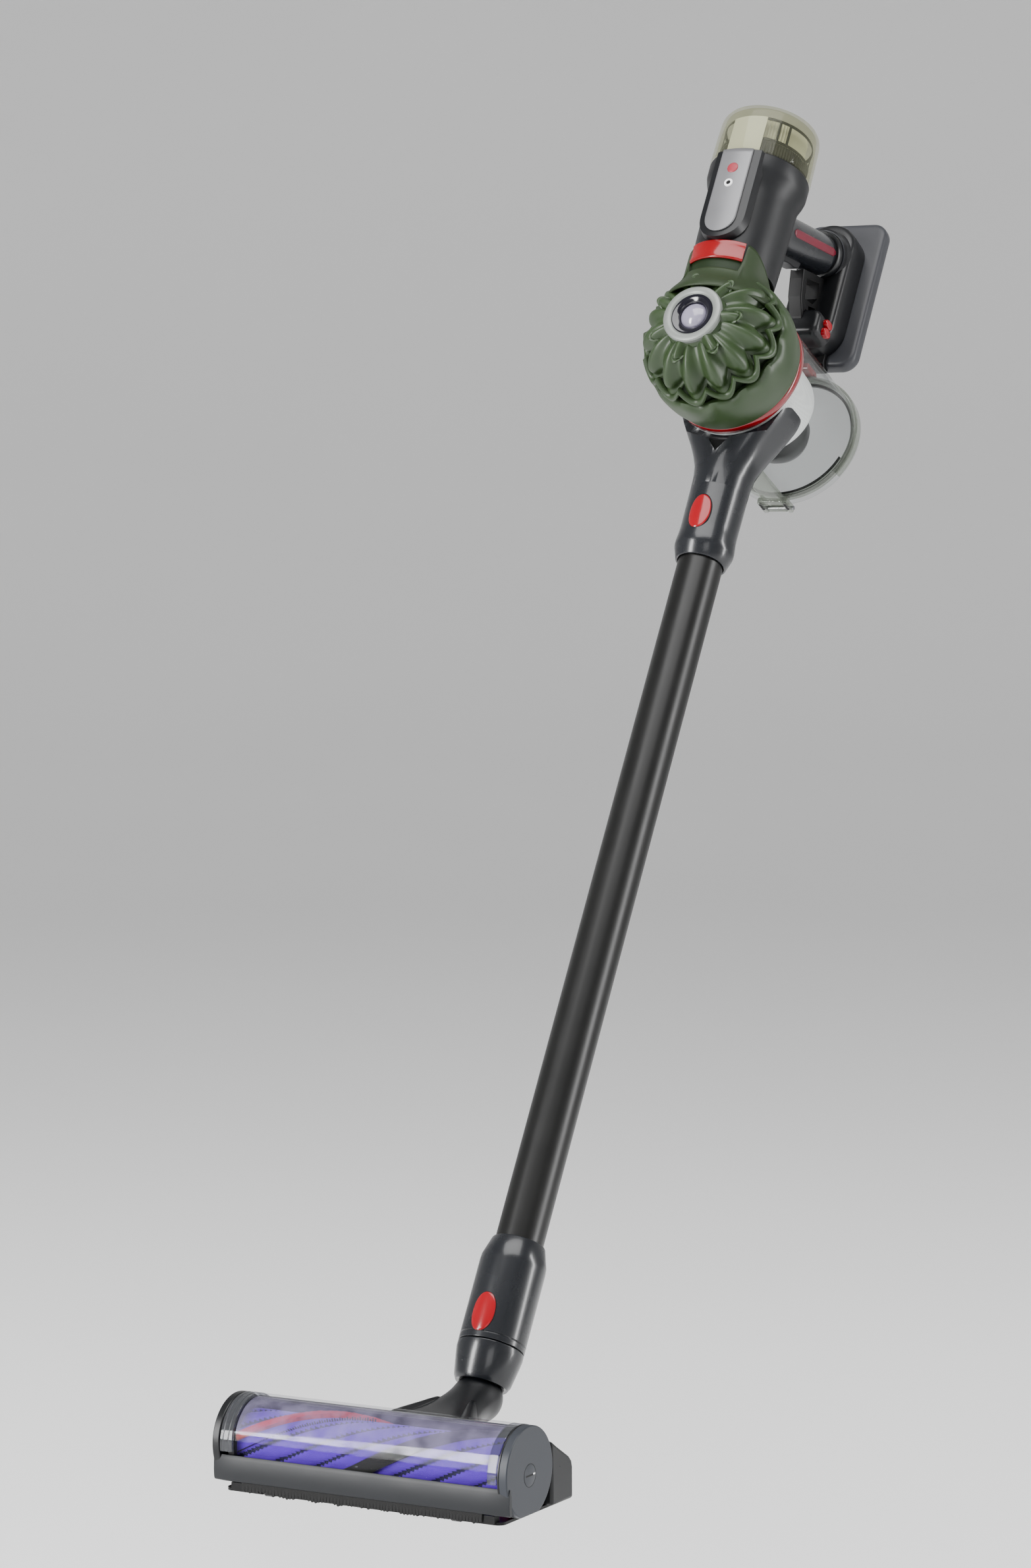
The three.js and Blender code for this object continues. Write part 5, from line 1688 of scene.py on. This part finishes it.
@dataclass
class MotorPod:
    """The motor housing with its control panel, red lever and filter cap."""

    axes: Axes
    foot: float = 231
    panel_radius: float = 47.6
    cap_top: float = 382
    lever_half: float = 37

    def build(self) -> None:
        """Builds every piece of the pod."""
        self.housing()
        self.panel()
        self.keys()
        self.lever()
        self.cap()
        self.filter()
        for name in ("vacuum_motor", "impeller"):
            DRESSER.dress(frame["nodes"][name], STEEL)

    def housing(self) -> None:
        """Builds the can and the raised surround of the panel."""
        profile = [(34, self.foot), (36.4, self.foot), (36.9, self.foot + 10), (37.6, 262),
                   (38.2, 300), (38.9, 311), (41.8, 319), (42.8, 323), (42.9, 329.5),
                   (42.9, 333.2), (42.4, 333.8), (34, 333.8)]
        Piece("housing_can", Form().turned(profile, 128, closed=True), self.axes, (HOUSING,),
              "machine", "charcoal", ("motor_housing",), Edge.FINE, 24).make()
        form = Form().sheet(self.plaque(20.5, 247, 333.4, 44.6, 26))
        edge = self.outline(20.5, 247, 333.4, 44.6)
        root = self.outline(22.2, 245.6, 333.4, 37.4)
        form.sheet([edge, root])
        Piece("panel_surround", form, self.axes, (INK,), "machine", "charcoal", (),
              smooth=40).make()

    def plaque(self, half: float, low: float, high: float, radius: float, steps: int) -> Rows:
        """Returns rows over a plaque with a round lower end, bowed like the pod.

        Args:
            half: Half its width.
            low: Its lowest height.
            high: Its highest height.
            radius: How far its middle stands in front of the pod's axis.
            steps: Rows.

        Returns:
            The rows.
        """
        rows = []
        bow = 62.0
        for i in range(steps + 1):
            share = (i / steps) ** 1.6
            z = low + 0.02 + (high - low) * share
            drop = half * 1.15
            away = max(0.0, 1 - (z - low) / drop)
            width = half * math.sqrt(max(0.0, 1 - away**2.2))
            row = []
            for k in range(17):
                x = width * (k / 8 - 1)
                row.append((x, -radius + bow - math.sqrt(bow * bow - x * x), z))
            rows.append(row)
        return rows

    def outline(self, half: float, low: float, high: float, radius: float) -> list[Point]:
        """Returns the side and lower edge of a plaque, from the top left to the top right.

        Args:
            half: Half its width.
            low: Its lowest height.
            high: Its highest height.
            radius: How far its middle stands in front of the pod's axis.

        Returns:
            The points.
        """
        rows = self.plaque(half, low, high, radius, 26)
        left = [row[0] for row in rows[::-1]]
        right = [row[-1] for row in rows]
        return left + right

    def panel(self) -> None:
        """Builds the silver panel."""
        rows = self.plaque(14.2, 252, 333.4, self.panel_radius - 1.6, 30)
        Piece("panel_face", Form().sheet(rows), self.axes, (PANEL,), "machine", "grey",
              ("control_panel",), smooth=50, thickness=1.4).make()

    def keys(self) -> None:
        """Builds the power key and the mode key with its white ring."""
        low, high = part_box("power_button")
        x = (low + high).x / 2 / MM
        front = -self.panel_radius + 1.6
        power = Form().turned([(0, 0.75), (3.6, 0.7), (4.5, 0.45), (4.9, 0)], 48)
        ring = Form().turned([(1.9, 0.1), (2.1, 0.65), (3.6, 0.65), (3.9, 0)], 48)
        dot = Form().turned([(0, 0.3), (2.0, 0.3), (2.0, 0)], 32)
        power_rise, mode_rise = 314, 299
        spots = (
            ("power_face", "power_key", ("power_button",), power_rise, DULL_RED, "red", power),
            ("mode_ring", "mode_key", ("mode_button",), mode_rise, WHITE, "white", ring),
            ("mode_dot", "mode_key", (), mode_rise, BLACK, "black", dot),
        )
        away = self.axes.up.cross(self.axes.across)
        for name, body, nodes, rise, finish, slot, form in spots:
            axes = Axes(self.axes.matrix() @ Vector((x, front, rise)), -away)
            Piece(name, form, axes, (finish,), body, slot, nodes, smooth=50).make()

    def lever(self) -> None:
        """Builds the red bin lever."""
        profile = [(38.6, 229.6), (39.8, 229.3), (40.6, 230), (40.9, 231.4), (40.4, 234),
                   (40.5, 243), (41, 245.4), (40.8, 246.4), (39.6, 246.6), (38.6, 246.2)]
        arc = (270 - self.lever_half, 270 + self.lever_half)
        Piece("lever_band", Form().turned(profile, 64, arc, closed=True), self.axes, (RED,),
              "lever", "red", ("bin_lever",), Edge.FINE, 40).make()

    def cap(self) -> None:
        """Builds the clear filter cap."""
        top = self.cap_top
        profile = [(43.1, 334.5), (43.3, 337), (42.9, 360), (42.5, 374), (41.7, 378),
                   (39.9, 380.9), (37.4, top - 0.1), (24, top), (0, top), (0, top - 1.8),
                   (37, top - 1.8), (39.2, 378), (40.6, 362), (41.2, 334.5)]
        Piece("cap_shell", Form().turned(profile, 128), self.axes, (CAP_CLEAR,), "filter",
              "cap_clear", ("filter_cap",), smooth=36).make()
        seam = Form().turned([(41.5, 333.9), (41.5, 334.4)], 128)
        Piece("cap_seam", seam, self.axes, (BLACK,), "filter", "black").make()

    def filter(self) -> None:
        """Builds the pleated core, the ribbed band, the frame rings and the front panel, whose light grey
        paints the reflection on the cap's front.
        """
        pleats, per = 72, 4
        rows = []
        for z in (336, 340, 371, 375.6):
            row = []
            for k in range(pleats * per):
                angle = 2 * math.pi * k / (pleats * per)
                swing = 1.1 * math.sin(pleats * angle)
                row.append(((31.2 + swing) * math.cos(angle), (31.2 + swing) * math.sin(angle),
                            z))
            rows.append(row)
        Piece("core_pleats", Form().loft(rows), self.axes, (FILTER,), "filter", "filter",
              ("filter_core",), smooth=80).make()
        rows = []
        ribs = 90
        for z in (336, 336.6, 348.4, 349):
            row = []
            for k in range(ribs * 4):
                angle = 2 * math.pi * k / (ribs * 4)
                r = 37.3 + 0.35 * math.sin(ribs * angle)
                row.append((r * math.cos(angle), r * math.sin(angle), z))
            rows.append(row)
        form = Form().sheet(rows, wrap=True)
        form.turned([(37.4, 349), (38.2, 349.2), (38.2, 351.4), (36.8, 351.6)], 96)
        form.turned([(37.6, 368.6), (38.2, 368.8), (37.8, 371.4), (36.6, 371.6)], 96)
        for start in (308, 322, 218, 40, 130):
            form.turned([(37.4, 349), (38.1, 349), (38.0, 371), (37.3, 371)], 6,
                        (start, start + 3.4), closed=True)
        Piece("band_ribs", form, self.axes, (BLACK,), "filter", "black", ("filter_band",),
              smooth=50).make()
        # The front plate's light grey is painted reflection of the light on the clear cap.
        plate = [(38.9, 335.2), (39.3, 335.2), (38.9, 371), (38.5, 371)]
        Piece("cap_plate_reflection", Form().turned(plate, 24, (270 - 25, 270 + 22), closed=True), self.axes,
              (CAP_PLATE_REFLECTION,), "filter", "grey", ("cap_panel",), Edge.FINE).make()


# ---------------------------------------------------------------- handle and battery


@dataclass
class Grip:
    """The pistol grip with its stripes, collar and trigger."""

    axes: Axes
    radius: float = 18.5
    start: float = -44
    end: float = 62

    def build(self) -> None:
        """Builds every piece of the grip."""
        self.handle()
        self.stripes()
        self.collar()
        self.trigger()
        self.guard()

    def handle(self) -> None:
        """Builds the grip as a lofted oval that swells at its ends."""
        rings = []
        for i in range(25):
            z = self.start + (self.end - self.start) * i / 24
            swell = 1.6 * (1 - ease(z, self.start, self.start + 16)) + 0.4 * ease(z, 48, 62)
            rings.append([(x, y, z) for x, y in
                          oval(self.radius - 0.1 + swell, self.radius - 0.1 + swell, 2.06, 64)])
        Piece("grip_skin", Form().loft(rings), self.axes, (CHARCOAL,), "machine", "charcoal",
              ("handle_grip",), smooth=60).make()

    def stripes(self) -> None:
        """Builds the crimson stripes along both sides."""
        for side, name in ((0, "grip_stripe_right"), (180, "grip_stripe_left")):
            half = math.degrees(3.6 / self.radius)
            rows = []
            for i in range(21):
                z = -27 + 81 * i / 20
                taper = min(1.0, (z + 27.4) / 4, (54.4 - z) / 4) ** 0.5
                row = []
                for k in range(7):
                    a = math.radians(side + half * taper * (k / 3 - 1))
                    r = self.radius + 0.22
                    row.append((r * math.cos(a), r * math.sin(a), z))
                rows.append(row)
            Piece(f"{name}_inlay", Form().sheet(rows), self.axes, (CRIMSON,), "machine",
                  "crimson", (name,), smooth=60, thickness=0.5).make()

    def collar(self) -> None:
        """Builds the dark collar at the battery end, and its fine ring."""
        profile = [(18.6, 54.8), (20.6, 54.9), (21.6, 56.4), (21.9, 59.4), (21.8, 61.9),
                   (18.6, 61.9)]
        Piece("collar_ring", Form().turned(profile, 96, closed=True), self.axes, (INK,),
              "machine", "black", ("handle_collar",), smooth=40).make()

    def trigger(self) -> None:
        """Builds the trigger blade."""
        side = [(13.6, -29.6), (13.6, 13.6), (18.4, 13.8), (21.6, 11.6), (23.4, 8), (23.6, 2),
                (22.4, -6), (22.2, -12), (23, -19), (23.8, -23), (23, -26.4), (20, -29.4)]
        Piece("trigger_blade", Form().bar(side, -5.8, 5.8), self.axes, (INK,), "trigger",
              "black", ("trigger",), Edge.SOFT).make()

    def guard(self) -> None:
        """Gives the trigger guard its finish."""
        DRESSER.dress(frame["nodes"]["trigger_guard"], BLACK)


@dataclass
class Battery:
    """The clip-off battery: slab, body, tower and release keys."""

    axes: Axes
    handle: Axes
    width: float = 79
    low: float = 251
    high: float = 398
    front: float = 93

    def build(self) -> None:
        """Builds every piece of the battery."""
        self.slab()
        self.body()
        self.keys()
        DRESSER.dress(frame["nodes"]["battery_cells"], CELL)

    def slab(self) -> None:
        """Builds the grey slab with its rounded, darker edges."""
        middle = (self.low + self.high) / 2
        height = self.high - self.low
        steps = [(0.0, 4.6), (0.35, 2.6), (1.2, 1.2), (2.6, 0.35), (4.6, 0.0), (9.4, 0.0),
                 (11.4, 0.4), (12.8, 1.3), (13.65, 2.7), (14.0, 4.6)]
        rings = []
        for depth, inset in steps:
            outline = rounded(self.width - 2 * inset, height - 2 * inset, 14 - inset, 10)
            rings.append([(x, self.front + depth, middle + z) for x, z in outline])
        form = Form().sheet(rings, wrap=True, slot=1)
        form.cap(rings[0], True, 0)
        form.cap(rings[-1], False, 0)
        Piece("slab_skin", form, self.axes, (SLAB, SLAB_EDGE), "battery", "grey",
              ("battery_base",), smooth=40).make()

    def body(self) -> None:
        """Builds the dark body with its raised rim, the hood over the collar and the tower."""
        middle = (256 + 382) / 2
        form = Form()
        rings = []
        for y, inset in ((67.2, 7), (67.4, 4.4), (68.4, 2.2), (70.4, 0.9), (73, 0.4),
                         (78, 0.1), (92.4, 0.1)):
            outline = rounded(52 - 2 * inset, 126 - 2 * inset, 26 - inset, 14)
            rings.append([(x, y, middle + z) for x, z in outline])
        form.loft(rings)
        Piece("battery_skin", form, self.axes, (INK,), "battery", "black", ("battery_body",),
              smooth=50).make()
        tower = Form()
        rings = []
        for y, inset in ((47, 5), (47.6, 2.6), (49, 1), (51.5, 0.2), (72, 0.2)):
            outline = rounded(46 - 2 * inset, 25 - 2 * inset, 8 - inset * 0.8, 8)
            rings.append([(x, y, 268.5 + z) for x, z in outline])
        tower.loft(rings)
        Piece("tower_skin", tower, self.axes, (INK,), "battery", "black", (), smooth=50).make()
        hood = [(20.6, 62.3), (23, 62.6), (24.6, 64.4), (25, 68), (25, 84), (20.6, 84)]
        clip = cutter(Form().slab([(-60, 200), (60, 200), (60, 460), (-60, 460)], 84, 160),
                      self.axes)
        Piece("hood_skin", Form().turned(hood, 96, closed=True), self.handle, (INK,), "battery",
              "black", (), smooth=50, cutters=[clip]).make()
        line = Form().turned([(22.0, 62.2), (22.5, 62.05), (23.0, 62.3)], 96)
        Piece("hood_line", line, self.handle, (SLAB,), "battery", "grey", smooth=60).make()
        hook = Form().bar([(88, 251), (95, 246.6), (100, 247.6), (100, 252), (92.6, 262),
                           (88, 262)], -14, 14)
        Piece("foot_hook", hook, self.axes, (BLACK,), "battery", "black", (), Edge.SOFT).make()

    def keys(self) -> None:
        """Builds the two-part release keys on both sides of the tower."""
        for side, name in ((-1, "left"), (1, "right")):
            low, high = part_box(f"battery_button_{name}")
            inverse = self.axes.matrix().inverted()
            middle = inverse @ ((low + high) / 2)
            form = Form()
            for shift in (-4.0, 4.0):
                outline = oval(5.9, 3.7, 2.6, 40)
                rings = []
                for out, inset in ((0, 0), (3.2, 0), (4.2, 0.6), (4.6, 1.6)):
                    x = side * (22.2 + out)
                    rings.append([(x, middle.y + a * (1 - inset / 6),
                                   middle.z + shift + b * (1 - inset / 4)) for a, b in outline])
                form.loft(rings)
            Piece(f"release_key_{name}", form, self.axes, (KEY_RED,), f"battery_key_{name}",
                  "red", (f"battery_button_{name}",), smooth=50).make()


# ---------------------------------------------------------------- studio


@dataclass
class Studio:
    """The camera, floor and soft lights."""

    azimuth: float = 29.8235
    elevation: float = 3.6856
    roll: float = -0.2702
    eye: Point = (1.59919, -2.62968, 0.71966)
    lens: float = 96.97
    floor: float = -0.22

    def build(self) -> None:
        """Sets up the camera, the stage and the lights."""
        self.camera()
        self.stage()
        self.lights()
        self.world()

    def camera(self) -> None:
        """Makes the camera."""
        az, el, roll = (math.radians(v) for v in (self.azimuth, self.elevation, self.roll))
        back = Vector((math.sin(az) * math.cos(el), -math.cos(az) * math.cos(el), math.sin(el)))
        right = Vector((math.cos(az), math.sin(az), 0))
        up = back.cross(right)
        across = right * math.cos(roll) + up * math.sin(roll)
        upward = up * math.cos(roll) - right * math.sin(roll)
        data = bpy.data.cameras.new("camera")
        data.sensor_fit = "AUTO"
        data.sensor_width = 36
        data.lens = self.lens
        data.clip_end = 60
        camera = bpy.data.objects.new("camera", data)
        turn = Matrix((across, upward, back)).transposed().to_4x4()
        camera.matrix_world = Matrix.Translation(Vector(self.eye)) @ turn
        bpy.context.scene.collection.objects.link(camera)
        bpy.context.scene.camera = camera

    def stage(self) -> None:
        """Makes the pale floor, which rises into a backdrop all round."""
        rows = []
        profile = ((0, 0), (3, 0), (7, 0), (9, 0.25), (10.4, 1.1), (11, 2.6), (11.2, 8))
        angles = [math.tau * k / 96 for k in range(96)]
        for radius, height in profile:
            rows.append([(radius * math.cos(a), radius * math.sin(a), self.floor + height)
                         for a in angles])
        form = Form().sheet(rows, wrap=True)
        mesh = bpy.data.meshes.new("floor")
        mesh.from_pydata(form.points, [], form.faces)
        mesh.shade_smooth()
        floor = bpy.data.objects.new("floor", mesh)
        bpy.context.scene.collection.objects.link(floor)
        paint = Paint("floor_paper")
        clouds = paint.grain(1.5, 2)
        shader = paint.surface(
            Base_Color=paint.mix(clouds, (0.93, 0.93, 0.93, 1), (0.96, 0.96, 0.96, 1)),
            Roughness=0.9 + clouds * 0.05,
            Specular_IOR_Level=0.1,
        )
        mesh.materials.append(paint.finish(shader))

    def lamp(self, name: str, place: Point, aim: Point, size: tuple[float, float], power: float,
             colour: Colour = (1, 1, 1)) -> None:
        """Makes one soft rectangular light.

        Args:
            name: Its name.
            place: Where it stands.
            aim: The point it faces.
            size: Its width and height.
            power: Its power in watts.
            colour: Its colour.
        """
        data = bpy.data.lights.new(name, "AREA")
        data.shape = "RECTANGLE"
        data.size, data.size_y = size
        data.energy = power
        data.color = colour
        lamp = bpy.data.objects.new(name, data)
        direction = Vector(place) - Vector(aim)
        lamp.rotation_euler = direction.to_track_quat("Z", "Y").to_euler()
        lamp.location = place
        bpy.context.scene.collection.objects.link(lamp)

    def lights(self) -> None:
        """Makes the softboxes."""
        self.lamp("softbox_left", (-1.9, -3.3, 1.5), (0, 0.3, 0.6), (0.85, 2.8), 260)
        self.lamp("softbox_top", (0.4, -0.6, 3.6), (0, 0.3, 0.4), (3.2, 2.2), 150)
        self.lamp("strip_right", (3.1, 1.4, 1.0), (0, 0.4, 0.6), (0.45, 2.6), 90)
        self.lamp("fill_front", (2.6, -3.4, 1.6), (0, 0.3, 0.5), (1.6, 1.6), 22)

    def world(self) -> None:
        """Makes the pale surroundings."""
        world = bpy.data.worlds.new("pale")
        world.use_nodes = True
        background = world.node_tree.nodes["Background"]
        background.inputs["Color"].default_value = (1, 1, 1, 1)
        background.inputs["Strength"].default_value = 0.42
        bpy.context.scene.world = world


def main() -> None:
    """Builds the whole scene in order."""
    logging.basicConfig(level=logging.INFO, format="%(name)s %(message)s")
    datums = Datums(frame["record"])
    parts: Sequence[object] = (
        Studio(),
        CleanerHead(datums.head, datums.arm.origin),
        Roller(datums.roller),
        Neck(datums.arm, datums.stick),
        Wand(datums.stick),
        InletDuct(datums.machine, datums.bin),
        DustBin(datums.bin),
        Cyclone(datums.bin, datums.motor),
        MotorPod(datums.motor),
        Grip(datums.handle),
        Battery(datums.machine, datums.handle),
    )
    for part in parts:
        part.build()
        LOG.info("%s is done", type(part).__name__)


if __name__ == "__main__":
    main()
